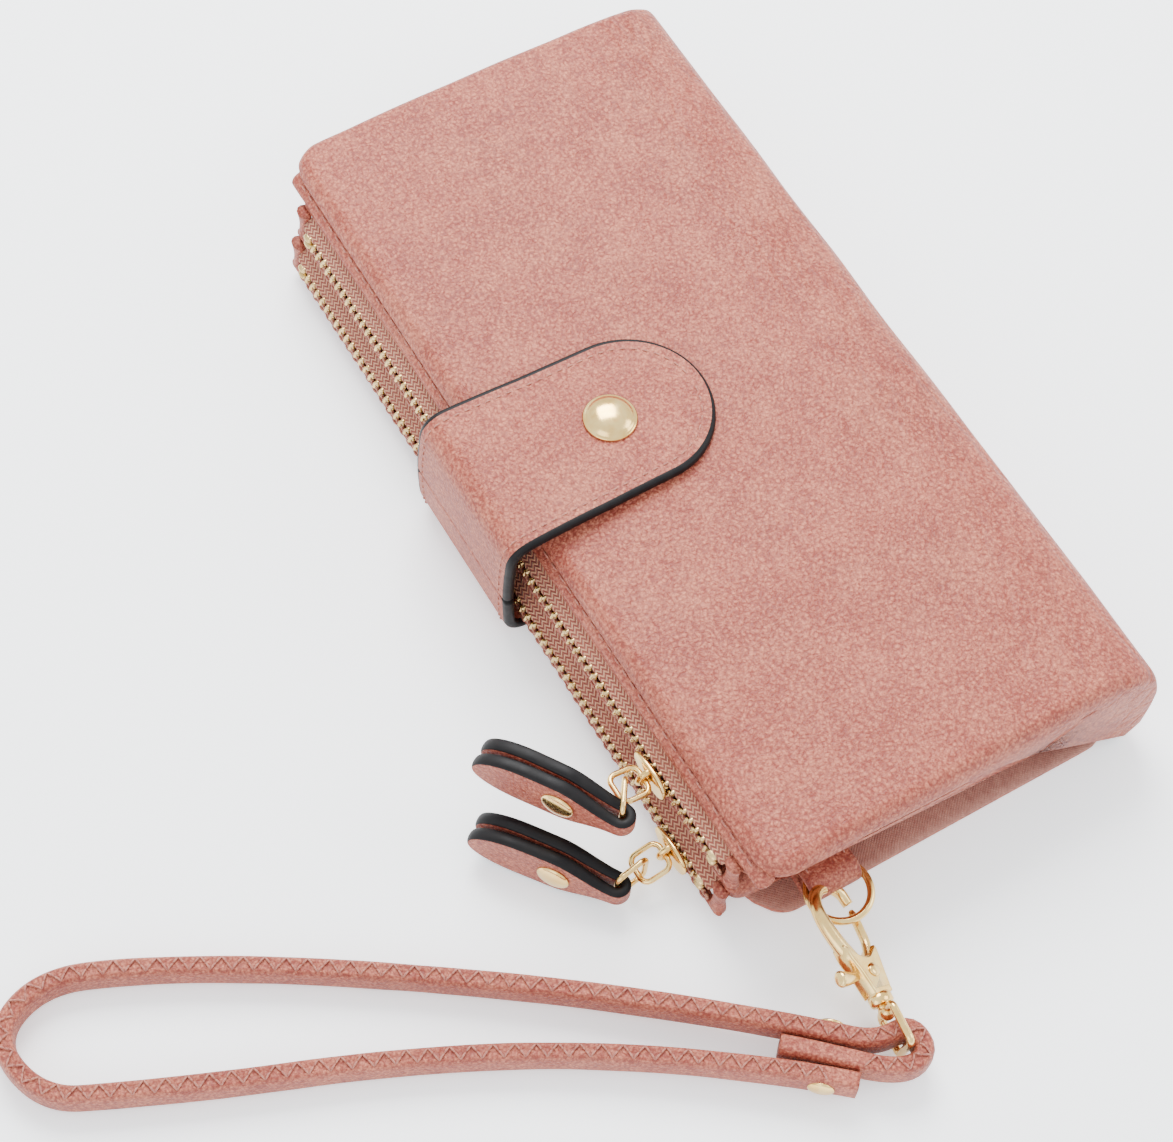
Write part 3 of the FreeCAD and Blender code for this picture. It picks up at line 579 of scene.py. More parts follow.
def strip_rings(stations, thickness, rim, across=8):
    """Rings of a strip with rounded rims, in (along, across, up) coordinates.

    Each station is (along, half width, outward normal along, outward normal across) for
    the right side, and the left side mirrors it. The rings come with a kind for each
    face round them: 0 on top, 1 on the rims, 2 underneath.
    """
    half = thickness / 2
    rings = []
    turns = 5
    for along, width, normal_along, normal_across in stations:
        ring = []
        inner_along = along - normal_along * rim
        inner = max(width - normal_across * rim, 0.0)
        for k in range(across + 1):
            ring.append(Vector((inner_along, -inner + 2 * inner * k / across, half)))
        for side in (1, -1):
            rounded = []
            for k in range(1, turns):
                angle = math.pi * k / turns
                rounded.append((rim * math.sin(angle), half * math.cos(angle)))
            if side < 0:
                rounded.reverse()
            for out, up in rounded:
                across_out = side * (inner + normal_across * out)
                ring.append(Vector((inner_along + normal_along * out, across_out, up)))
            if side > 0:
                for k in range(across + 1):
                    ring.append(Vector((inner_along, inner - 2 * inner * k / across, -half)))
        rings.append(ring)
    kinds = [0] * across + [1] * turns + [2] * across + [1] * turns
    return rings, kinds


# ---------------------------------------------------------------- covers


def nearest_on(line, y, z):
    """The nearest point of a bent line to (y, z)."""
    best = None
    for (ay, az), (by, bz) in zip(line, line[1:]):
        length = (by - ay) ** 2 + (bz - az) ** 2
        t = min(1.0, max(0.0, ((y - ay) * (by - ay) + (z - az) * (bz - az)) / length))
        found = (ay + (by - ay) * t, az + (bz - az) * t)
        gap = (found[0] - y) ** 2 + (found[1] - z) ** 2
        if best is None or gap < best[0]:
            best = (gap, found)
    return best[1]


COVER_SHORTER = 2.0
COVER_SHIFT = 1.0
COVER_CORNER = 7.0


def build_cover():
    """The padded front cover and the spine's leather, one sheet that turns over the fold."""
    look = bpy.context.scene.wallet_cover
    low, high = corner_boxes("front_cover")
    spine_low, spine_high = corner_boxes("spine")
    crown = look.crown / MM
    roll = look.roll / MM
    top = high.z
    under = low.z
    half_length = high.x - COVER_SHORTER
    half_width = high.y
    out = spine_high.y
    outline = [
        (-half_width + 0.2, under + 1.1),
        (-half_width - 0.3, under + 3.0),
        (-half_width + 0.9, top - 1.1),
        (-half_width + 3.6, top + 0.1),
        (-half_width + 14, top + crown * 0.55),
        (-12, top + crown * 0.8),
        (12, top + crown),
        (28, top + crown * 0.9),
        (half_width - 9, top + crown * 0.3),
        (half_width - 3.6, top - 1.2),
        (half_width - 0.4, top - 4.2),
        (out + 0.3, 19.5),
        (out + 0.7, 12.5),
        (out + 0.1, 6.0),
        (out - 1.6, 2.4),
        (out - 3.8, 0.9),
        (out - 3.6, 2.2),
        (out - 1.9, 4.6),
        (out - 1.1, 12.5),
        (out - 1.2, 19.5),
        (half_width - 1.2, under + 0.4),
        (half_width - 6, under),
        (0, under),
        (-half_width + 4, under),
        (-half_width + 1.2, under + 0.2),
        (-half_width + 0.2, under + 1.1),
    ]
    section = [Vector((0, y, z)) for y, z in outline]
    section = smooth_line(section, 150)[:-1]
    middle = (top + under) / 2
    medial = [
        (-half_width + 3, middle),
        (half_width - 6, middle),
        (half_width - 1.0, middle - 2.2),
        (out - 0.4, 18.0),
        (out - 0.2, 12.0),
        (out - 0.9, 5.0),
        (out - 3.6, 1.6),
    ]
    centres = [nearest_on(medial, p.y, p.z) for p in section]
    corner = COVER_CORNER
    rings = []
    for x, size in end_stations(half_length, roll, 2.6):
        reach = max(0.0, abs(x) - (half_length - corner))
        inset = corner - math.sqrt(max(corner**2 - reach**2, 0.0))
        narrow = (half_width - inset * 0.8) / half_width
        ring = []
        for p, (cy, cz) in zip(section, centres):
            y = cy + (p.y - cy) * size
            z = cz + (p.z - cz) * size
            if y < 0:
                y *= narrow
            point = Vector((x - COVER_SHIFT, y, z))
            if p.z > top - 2.5:
                flat = 1.0 - min(1.0, max(0.0, (half_width * 0.45 - abs(y + 22)) / 18.0)) * 0.7
                point.z += unevenness(point, 34.0, look.softness / MM * 1.4, 3.1) * flat
                point.z += unevenness(point, 13.0, look.softness / MM * 0.45, 8.4) * flat
            elif p.y > half_width - 6:
                point.y += unevenness(point, 26.0, look.softness / MM * 0.9, 5.7)
                point.z = max(point.z, 0.3)
            bow = 0.7 * math.cos(math.pi * x / (2 * half_length))
            if y < -half_width * 0.85:
                point.y -= bow * 0.5 - 0.3
            if abs(x) > half_length - 12:
                point.x += math.copysign(0.9 * math.cos(math.pi * y / (2.2 * half_width)) - 0.5, x)
            ring.append(point)
        rings.append(ring)
    shape = Shape()
    shape.rings(rings)
    piece = shape.build("cover_leather", [leather(1.0, 1.0)], 1)
    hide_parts("front_cover", "front_padding", "spine", "front_board", "card_panel")
    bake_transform(piece)


def slab(name, low, high, roll, material, bulge, seed):
    """A soft flat body with rolled edges, from its two corners."""
    half_y = (high.y - low.y) / 2
    half_z = (high.z - low.z) / 2
    centre = (low + high) / 2
    count = 56
    shape = Shape()
    rings = []
    for x, size in end_stations((high.x - low.x) / 2, roll, 4.0):
        ring = []
        for angle in around(count):
            c, s = math.cos(angle), math.sin(angle)
            y = soft(c, 2 / 9.0) * half_y
            z = soft(s, 0.5) * half_z
            squeeze = half_y - roll * (1 - size)
            y = y * squeeze / half_y
            z = z * (0.25 + 0.75 * size)
            point = centre + Vector((x, y, z))
            point += UP * unevenness(point, 22.0, bulge, seed) * (1 if s > 0 else -1)
            ring.append(point)
        rings.append(ring)
    shape.rings(rings)
    return shape.build(name, [material], 1)


def build_back():
    """The back cover with its board and lining in one body, its corners pulled in."""
    low, high = corner_boxes("back_cover")
    shape = Shape()
    rings = []
    corner = 15.0
    half_y = high.y - 1.2
    count = 72
    half_x = high.x - 4.0
    for x, size in end_stations(half_x, 2.2, 3.0):
        reach = max(0.0, abs(x) - (half_x - corner))
        inset = corner - math.sqrt(max(corner**2 - reach**2, 0.0))
        wide = half_y - inset * 0.6
        ring = []
        for angle in around(count):
            c, t = math.cos(angle), math.sin(angle)
            y = soft(c, 0.16) * wide
            z = 1.45 + soft(t, 0.45) * 1.4 * (0.35 + 0.65 * size)
            point = Vector((x, y, z))
            point.z += unevenness(point, 24.0, 0.12, 9.0)
            point.z = max(point.z, 0.03)
            ring.append(point)
        rings.append(ring)
    kinds = [1 if count * 0.03 < k < count * 0.47 else 0 for k in range(count)]
    shape.rings(rings, kinds)
    for side in (1, -1):
        y = side * (half_y - 2.6)
        shape.seam([Vector((14 - high.x, y, 2.8)), Vector((high.x - 14, y, 2.8))], [UP] * 2, 2)
    piece = shape.build("back_cover_leather", [leather(1.0, 0.0), lining_cloth(), sewing_thread()])
    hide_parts("back_cover", "tab_anchor", "back_board", "back_lining")
    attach(piece, "back_leaf")


# ---------------------------------------------------------------- pouches and zips


def roll_band(shape, half, y, z, deep, tall, tilt, seed):
    """A rolled leather band along X, its section an ellipse turned by tilt, and its middle line."""
    drift = 0.25

    def centre(x):
        along = Vector((x, 0, 0))
        return along + Vector(
            (0, y + unevenness(along, 17.0, drift, seed), z + unevenness(along, 21.0, drift, seed + 4.0))
        )

    rings = []
    for x, size in end_stations(half, 1.4, 2.5):
        ring = []
        for angle in around(16):
            a = soft(math.cos(angle), 0.8) * deep * size
            b = soft(math.sin(angle), 0.8) * tall * size
            across = a * math.cos(tilt) - b * math.sin(tilt)
            ring.append(centre(x) + Vector((0, across, a * math.sin(tilt) + b * math.cos(tilt))))
        rings.append(ring)
    shape.rings(rings)
    return centre


def band_seam(shape, centre, half, offset, up, kind):
    """A row of stitches along a band."""
    line = [centre(-half + 2 * half * k / 90) + offset for k in range(91)]
    shape.seam(line, [up] * len(line), kind)


def build_hem():
    """The bound edge of the card side, all round, which shows under the cover's opening edge."""
    shape = Shape()
    half = 93.5
    mouth_y, fold_y = -44.4, 40.4
    level, wide, thick = 23.3, 2.4, 0.42
    centre = roll_band(shape, half, mouth_y, level + 0.7, 2.2, 1.1, math.radians(30), 1.3)
    up = Vector((0, -0.5, 0.86))
    band_seam(shape, centre, half - 3, Vector((0, -0.85, 0.72)), up, 1)
    roll_band(shape, half, fold_y, level, wide, thick, 0.0, 2.3)
    for x in (-91.6, 89.6):
        rings = []
        for k in range(41):
            y = -43.0 + 84.0 * k / 40
            rings.append([Vector((x + wide * math.cos(a), y, level + thick * math.sin(a))) for a in around(14)])
        shape.rings(rings)
        sewn = level - 0.38
        shape.seam([Vector((x + 1.0, -41.0, sewn)), Vector((x + 1.0, 39.0, sewn))], [-UP] * 2, 1)
    piece = shape.build("card_side_edge", [leather(1.15, 0.0), sewing_thread()])
    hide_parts("front_hem")
    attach(piece, "front_leaf")


def sheet_ring(x, half, y, z, thick, count=20):
    """A thin rounded section across Y at one X."""
    return [
        Vector((x, y + half * soft(math.cos(a), 0.2), z + thick / 2 * soft(math.sin(a), 0.6)))
        for a in around(count)
    ]


def build_cards():
    """The card slots inside the front cover, each with a rolled mouth and stitched ends."""
    low, high = corner_boxes("card_pockets")
    rows = 5
    step = (high.y - low.y) / rows
    shape = Shape()
    middle = (low.x + high.x) / 2
    half = (high.x - low.x) / 2
    for row in range(rows):
        y = high.y - step * (row + 0.5)
        rings = []
        lips = []
        for x, size in end_stations(half, 0.8, 3.0):
            drift = unevenness(Vector((x, y, 0)), 14.0, 0.10, 3.0)
            width = (step / 2 - 0.15) * (0.9 + 0.1 * size)
            mouth = y + step / 2 - 0.9 + drift
            rings.append(sheet_ring(middle + x, width, y + drift, high.z - 0.22, 0.42 * size))
            lips.append(sheet_ring(middle + x, 0.75 * size, mouth, high.z - 0.36, 0.5 * size, 10))
        shape.rings(rings)
        shape.rings(lips)
        sewn = Vector((middle, y + step / 2 - 2.3, high.z - 0.44))
        reach = Vector((half - 2, 0, 0))
        shape.seam([sewn - reach, sewn + reach], [-UP] * 2, 1, 0.8)
    for x in (low.x + 1.2, high.x - 1.2):
        ends = [Vector((x, low.y + 1, high.z - 0.44)), Vector((x, high.y - 1, high.z - 0.44))]
        shape.seam(ends, [-UP] * 2, 1)
    piece = shape.build("card_slots", [leather(1.3, 0.0, 0.92), sewing_thread()])
    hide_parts("card_pockets")
    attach(piece, "front_leaf")


def tooth(shape, x, y, z, side):
    """One metal zip tooth: two legs clamped on the tape's cord and a rounded head."""
    rings = []
    scale = 0.82
    for reach, wide, deep in (
        (-0.75, 0.40, 0.95),
        (-0.55, 0.56, 1.10),
        (0.10, 0.58, 1.12),
        (0.35, 0.40, 0.86),
        (0.80, 0.42, 0.80),
        (1.10, 0.52, 0.70),
        (1.32, 0.34, 0.45),
    ):
        middle = Vector((x, y, z - side * reach * scale))
        rings.append(
            [middle + Vector((math.cos(a) * wide, math.sin(a) * deep, 0)) * scale for a in around(8, 0.5)]
        )
    shape.rings(rings)


def build_zip(name, seed):
    """A zipped pouch: its soft body, leather bands, woven tapes, teeth and stops."""
    body_low, body_high = corner_boxes(name + "_pouch")
    face_low, face_high = corner_boxes(name + "_zip_facing")
    teeth_low, teeth_high = corner_boxes(name + "_zip_teeth")
    tape_low, tape_high = corner_boxes(name + "_zip_tapes")
    middle = (face_low.z + face_high.z) / 2
    half = face_high.x
    front = face_low.y

    low = Vector((body_low.x, front + 3.7, body_low.z + 0.1))
    high = body_high - UP * 0.1
    piece = slab(name + "_pouch_leather", low, high, 3.2, leather(1.0, 0.0, 0.94), 0.35, seed)
    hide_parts(name + "_pouch")
    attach(piece, "back_leaf")

    shape = Shape()
    tall = face_high.z - face_low.z
    upper = roll_band(shape, half, front + 3.7, face_high.z - 0.35, 1.15, 0.75, math.radians(30), seed + 1.0)
    lower = roll_band(shape, half, front + 1.4, face_low.z + 0.5, 0.95, 0.7, math.radians(-14), seed + 2.0)
    band_seam(shape, upper, half - 4, Vector((0, -0.42, 0.62)), Vector((0, -0.5, 0.86)), 1)
    band_seam(shape, lower, half - 4, Vector((0, -0.93, 0.22)), Vector((0, -1, 0.1)), 1)
    for side in (1, -1):
        end = []
        for k in range(13):
            t = k / 12
            size = 1.9 - 0.5 * math.sin(math.pi * t)
            z = face_low.z + 0.8 + (tall - 1.6) * t
            post = Vector((side * (half - 2.1), front + 1.9, z))
            oval = [Vector((math.cos(a) * 1.05, math.sin(a) * 0.85, 0)) for a in around(12)]
            end.append([post + p * size for p in oval])
        shape.rings(end)
    piece = shape.build(name + "_zip_bands", [leather(1.15, 0.0), sewing_thread()])
    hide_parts(name + "_zip_facing")
    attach(piece, "back_leaf")

    shape = Shape()
    line = (tape_low.y + tape_high.y) / 2
    edges = ((1, front + 3.9, face_high.z - 0.55), (-1, front + 0.9, face_low.z + 0.8))
    for side, edge_y, edge_z in edges:
        rings = []
        count = 150
        for k in range(count + 1):
            x = -half + 3.6 + (2 * half - 7.2) * k / count
            drift = unevenness(Vector((x, side, 0)), 9.0, 0.22, seed + 7)
            start = Vector((x, line - 0.5 + drift, middle + side * 1.15))
            end = Vector((x, edge_y + drift * 0.5, edge_z))
            across = (end - start).normalized()
            out = Vector((0, -abs(across.z), abs(across.y) * (1 if side > 0 else -1))).normalized()
            face = []
            back = []
            for j in range(7):
                t = j / 6
                rise = 0.26 + 0.12 * math.sin(math.pi * t) + (0.22 if j == 0 else 0.0)
                face.append(start.lerp(end, t) + out * rise)
                back.append(start.lerp(end, t) - out * 0.30)
            rings.append(face + list(reversed(back)))
        shape.rings(rings)
    piece = shape.build(name + "_zip_tape", [zip_weave()], 1)
    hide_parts(name + "_zip_tapes")
    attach(piece, "back_leaf")

    shape = Shape()
    pitch = 2.2
    span = 79.0
    stop_place = 81.3
    line = (teeth_low.y + teeth_high.y) / 2
    for k in range(-1, int(2 * span / pitch) + 1):
        x = -span + pitch * (k + 0.5)
        for side in (1, -1):
            place = x - side * pitch / 4
            y = line - 0.35 + unevenness(Vector((place * 1.7, side, 0)), 3.0, 0.12, seed)
            slack = unevenness(Vector((place, side, 5)), 2.0, 0.22, seed)
            tooth(shape, place + slack, y, middle + side * 1.18 + slack * 0.6, side)
    piece = shape.build(name + "_zip_metal", [gold(1)])
    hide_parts(name + "_zip_teeth")
    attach(piece, "back_leaf")

    shape = Shape()
    for end in (1, -1):
        for side in (1, -1):
            rings = []
            for k in range(9):
                angle = math.pi * k / 8
                size = 0.35 + 0.65 * math.sin(angle) ** 0.5
                x = end * stop_place - 1.2 * math.cos(angle)
                bar = Vector((x, line, middle + side * 1.05))
                oval = [Vector((0, 1.55 * math.cos(a), 0.6 * math.sin(a))) for a in around(10)]
                rings.append([bar + p * size for p in oval])
            shape.rings(rings)
    piece = shape.build(name + "_zip_end_stops", [gold(1)])
    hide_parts(name + "_zip_stops")
    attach(piece, "back_leaf")


# ---------------------------------------------------------------- pulls


def joint_named(name):
    """A joint of the frame's record."""
    for joint in frame["record"]["behaviour"]["joints"]:
        if joint["name"] == name:
            return joint
    raise RuntimeError("no joint called " + name)


def pull_width(t):
    """Half the height of a pull at a share of the way from its fold to its tip."""
    neck, full = 2.3, 6.1
    rise = min(1.0, t / 0.42)
    width = neck + (full - neck) * (rise * rise * (3 - 2 * rise))
    if t > 0.62:
        past = (t - 0.62) / 0.38
        width *= math.sqrt(max(1.0 - past**2.2, 0.0))
    return width


def build_pull(name, heading, bow):
    """A strip of leather folded round the link, with painted edges and a riveted cap."""
    pivot = Vector(joint_named(name + "_pull_swing")["pos_m"]) / MM
    length = 30.3
    layer = 2.75
    fold = 1.72
    pinch = 0.18
    thinned = 8.0
    arc = math.pi * fold
    total = 2 * length + arc

    def opened(side, x):
        """How far a layer lies off its straight line: the layers part, close at the fold and bow together."""
        part = (0.35 if side > 0 else 0.25) * (x / length) ** 2 - pinch * min(1.0, x / thinned)
        return side * part + bow * (x / length) ** 2

    def path(u):
        """Point and outward direction at a distance along the strip."""
        for side, x in ((1, length - u), (-1, u - length - arc)):
            if x > 0:
                return Vector((x, side * fold + opened(side, x), 0)), Vector((0, side, 0))
        angle = math.pi / 2 + (u - length) / fold
        direction = Vector((math.cos(angle), math.sin(angle), 0))
        return direction * fold, direction

    one_side = [length * 0.22 * (1 - math.cos(math.pi / 2 * k / 14)) for k in range(15)]
    one_side += [length * (0.22 + 0.78 * k / 22) for k in range(1, 23)]
    places = one_side + [length + arc * k / 10 for k in range(1, 10)]
    places += [total - p for p in reversed(one_side)]
    outline = []
    for u in places:
        t = (length - u) / length if u < length else max(0.0, (u - length - arc) / length)
        outline.append((u, pull_width(min(t, 1.0))))
    stations = []
    for i, (u, width) in enumerate(outline):
        before = outline[max(i - 1, 0)]
        after = outline[min(i + 1, len(outline) - 1)]
        du, dw = after[0] - before[0], after[1] - before[1]
        size = math.hypot(du, dw)
        normal = (-dw / size, du / size)
        if i == 0:
            normal = (-1.0, 0.0)
        if i == len(outline) - 1:
            normal = (1.0, 0.0)
        stations.append((u, width, normal[0], normal[1]))
    rings, kinds = strip_rings(stations, layer, 0.5)
    turn = Matrix.Rotation(math.radians(heading), 3, "Z")
    mapped = []
    for ring in rings:
        out = []
        for along, across, up in ring:
            u = min(max(along, 0.0), total)
            point, away = path(u)
            past_fold = max(0.0, length - u, u - length - arc)
            thin = 0.78 + 0.22 * min(1.0, past_fold / thinned)
            point = point + UP * across + away * up * thin
            out.append(turn @ point + pivot)
        mapped.append(out)
    shape = Shape()
    shape.rings(mapped, kinds, caps=False)
    # The inner faces between the two layers get the darker copy of the leather: painted shade.
    finishes = [leather(1.2, 0.0), edge_paint(), leather(1.2, 0.0, 0.9)]
    piece = shape.build(name + "_pull_leather", finishes, 1)
    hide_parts(name + "_pull")
    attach(piece, name + "_pull")

    shape = Shape()
    at = 12.0
    button = (
        (3.3, -0.25), (3.42, 0.1), (3.3, 0.42), (2.9, 0.62), (2.2, 0.80), (1.2, 0.90), (0.3, 0.93),
    )
    for side in (1, -1):
        outer = side * (fold + layer / 2 + 0.08) + opened(side, at)
        shape.dome(Vector((at, outer, 0)), Vector((0, side, 0)), button, count=32)
    shape.move(Matrix.Translation(pivot) @ turn.to_4x4())
    piece = shape.build(name + "_pull_cap", [gold(0)])
    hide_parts(name + "_pull_rivet")
    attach(piece, name + "_pull")


# ---------------------------------------------------------------- metal fittings


def tube(shape, points, radii, count=14, flat=1.0, squash=UP):
    """A round bar along points, with its own radius at each, thinner along one direction if flat < 1."""
    rings = []
    for i, point in enumerate(points):
        along = (points[min(i + 1, len(points) - 1)] - points[max(i - 1, 0)]).normalized()
        side = along.cross(squash).normalized()
        high = side.cross(along).normalized()
        oval = [side * math.cos(a) + high * math.sin(a) * flat for a in around(count)]
        rings.append([point + p * radii[i] for p in oval])
    shape.rings(rings)


def build_slider(name):
    """A zip slider: a domed teardrop plate, the plate behind it, the post and the link's arch."""
    low, high = corner_boxes(name + "_slider")
    teeth_low, teeth_high = corner_boxes(name + "_zip_teeth")
    x = (low.x + high.x) / 2
    z = (low.z + high.z) / 2
    face = teeth_low.y - 0.35
    half = (high.x - low.x) / 2
    shape = Shape()
    for outer, inner, size in ((face - 1.25, face, 1.0), (teeth_high.y + 0.3, teeth_high.y + 1.4, 0.8)):
        rings = []
        for rise, shrink in ((0.0, 0.80), (0.12, 0.93), (0.35, 1.0), (0.75, 1.0), (1.0, 0.92)):
            ring = []
            y = outer + (inner - outer) * rise
            for a in around(40):
                wide = 3.9 * (0.80 + 0.20 * math.cos(a)) * soft(math.sin(a), 0.8)
                ring.append(Vector((x, y, z)) + Vector((math.cos(a) * half, 0, wide)) * shrink * size)
            rings.append(ring)
        shape.rings(rings)
    post = [Vector((x + half - 2.2, y, z)) for y in (face - 0.4, teeth_high.y + 0.6)]
    shape.rings([[p + Vector((math.cos(a), 0, 0.32 * math.sin(a))) for a in around(8)] for p in post])
    arch = []
    for k in range(17):
        a = math.pi * k / 16
        arch.append(Vector((x, face - 0.7 - 2.5 * math.sin(a), z - 1.9 * math.cos(a))))
    tube(shape, arch, [0.68] * 17, squash=Vector((1, 0, 0)))
    piece = shape.build(name + "_slider_body", [gold(0)], 1, 0.0)
    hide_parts(name + "_slider")
    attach(piece, name + "_slider")


HOOK_PLACE = (
    Matrix.Translation(Vector((100.0, -31.5, 9.3)))
    @ Matrix.Rotation(math.radians(-5.0), 4, "Z")
    @ Matrix.Rotation(math.radians(6.2), 4, "Y")
    @ Matrix.Rotation(math.radians(-38.0), 4, "X")
)


def build_hook():
    """The cast trigger hook: a smooth jaw and body, its gate with a thumb lever, and the pin."""
    shape = Shape()
    jaw = smooth_line(
        [
            (10.2, -2.4, 0), (6.0, -4.1, 0), (1.0, -5.2, 0), (-2.9, -4.6, 0),
            (-4.9, -2.2, 0), (-5.1, 1.2, 0), (-3.6, 3.9, 0), (-0.9, 4.7, 0),
        ],
        42,
    )
    radii = [1.75 - 0.65 * min(1.0, k / 16) + 0.18 * math.sin(math.pi * k / 42) for k in range(43)]
    tube(shape, jaw, radii, count=16)
    outline = smooth_line(
        [
            (6.9, -4.9, 0), (8.4, -3.4, 0), (9.7, -1.2, 0), (9.9, 1.2, 0), (8.7, 3.2, 0),
            (8.2, 4.1, 0), (9.2, 4.35, 0), (13.0, 3.6, 0), (17.2, 2.75, 0), (17.6, 2.3, 0),
            (17.6, -2.3, 0), (17.2, -2.75, 0), (13.0, -3.6, 0), (9.4, -4.8, 0), (6.9, -4.9, 0),
        ],
        84,
    )[:-1]
    centre = Vector((12.6, 0, 0))
    rings = []
    upper = ((1.3, 1.0), (1.62, 0.96), (1.75, 0.90), (1.76, 0.78))
    for up, shrink in [(-up, shrink) for up, shrink in reversed(upper)] + list(upper):
        rings.append([centre + (p - centre) * shrink + UP * up for p in outline])
    shape.rings(rings)
    for start, end, radius, corner in ((17.3, 19.6, 2.75, 0.4), (19.4, 20.4, 1.6, 0.3)):
        rings = []
        small = radius - corner
        for x, size in ((start, small), (start + corner, radius), (end - corner, radius), (end, small)):
            rings.append([Vector((x, math.cos(a) * size, math.sin(a) * size * 0.8)) for a in around(24)])
        shape.rings(rings)
    shape.move(HOOK_PLACE)
    piece = shape.build("hook_cast_body", [gold(0)], 0, 0.0)
    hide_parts("hook_body")
    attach(piece, "hook")

    shape = Shape()
    bar = smooth_line([(0.1, 4.6, 0), (3.5, 4.45, 0), (7.0, 4.1, 0), (9.6, 2.9, 0), (11.6, 1.6, 0)], 20)
    tube(shape, bar, [0.5 + 0.45 * min(1.0, k / 2) for k in range(21)], count=14)
    lever = smooth_line(
        [(12.9, -2.6, 0), (13.0, -4.6, 0), (13.0, -6.6, 0), (12.8, -8.2, 0), (12.7, -9.1, 0)], 16
    )
    radii = []
    for k in range(17):
        tip = 1.0 if k < 15 else 0.6
        radii.append(0.95 + 0.75 * math.sin(math.pi / 2 * max(0.0, k - 3) / 11) * tip)
    tube(shape, lever, radii, count=16, flat=0.8)
    shape.move(HOOK_PLACE)
    piece = shape.build("hook_gate_lever", [gold(0)], 1, 0.0)
    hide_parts("hook_gate")
    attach(piece, "gate")

    shape = Shape()
    head = ((1.35, 1.5), (1.4, 1.95), (1.2, 2.15), (0.7, 2.28), (0.1, 2.32))
    for side in (1, -1):
        shape.dome(Vector((13.0, 0, 0)), UP * side, head, high=Vector((0, 1, 0)))
    shape.move(HOOK_PLACE)
    piece = shape.build("hook_pin_heads", [gold(0)])
    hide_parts("hook_pin")
    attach(piece, "hook")


# ---------------------------------------------------------------- snap tab


TAB_BEND = 3.8
TAB_LOW = Vector((0, -49.6, 6.2))
TAB_HIGH = Vector((0, -49.6, 28.2))
TAB_QUARTER = TAB_BEND * math.pi / 2
TAB_UPRIGHT = 22.0


def tab_path(u):
    """Point and outward direction along the tab's middle, from under the pouch to the tip."""
    bend, low, high, quarter, upright = TAB_BEND, TAB_LOW, TAB_HIGH, TAB_QUARTER, TAB_UPRIGHT
    side = low.y - bend
    if u < 0:
        return low + Vector((0, -u, -bend)), Vector((0, 0, -1))
    if u < quarter:
        angle = -math.pi / 2 - u / bend
        out = Vector((0, math.cos(angle), math.sin(angle)))
        return low + out * bend, out
    u -= quarter
    if u < upright:
        t = u / upright
        return Vector((0, side - 0.5 * math.sin(math.pi * t), low.z + u)), Vector((0, -1, 0))
    u -= upright
    if u < quarter:
        angle = math.pi - u / bend
        out = Vector((0, math.cos(angle), math.sin(angle)))
        return high + out * bend, out
    u -= quarter
    sink = -0.55 * min(1.0, u / 18.0) ** 2 + 0.35 * max(0.0, (u - 34.0) / 16.0) ** 2
    return high + Vector((0, u, bend + sink)), Vector((0, 0, 1))


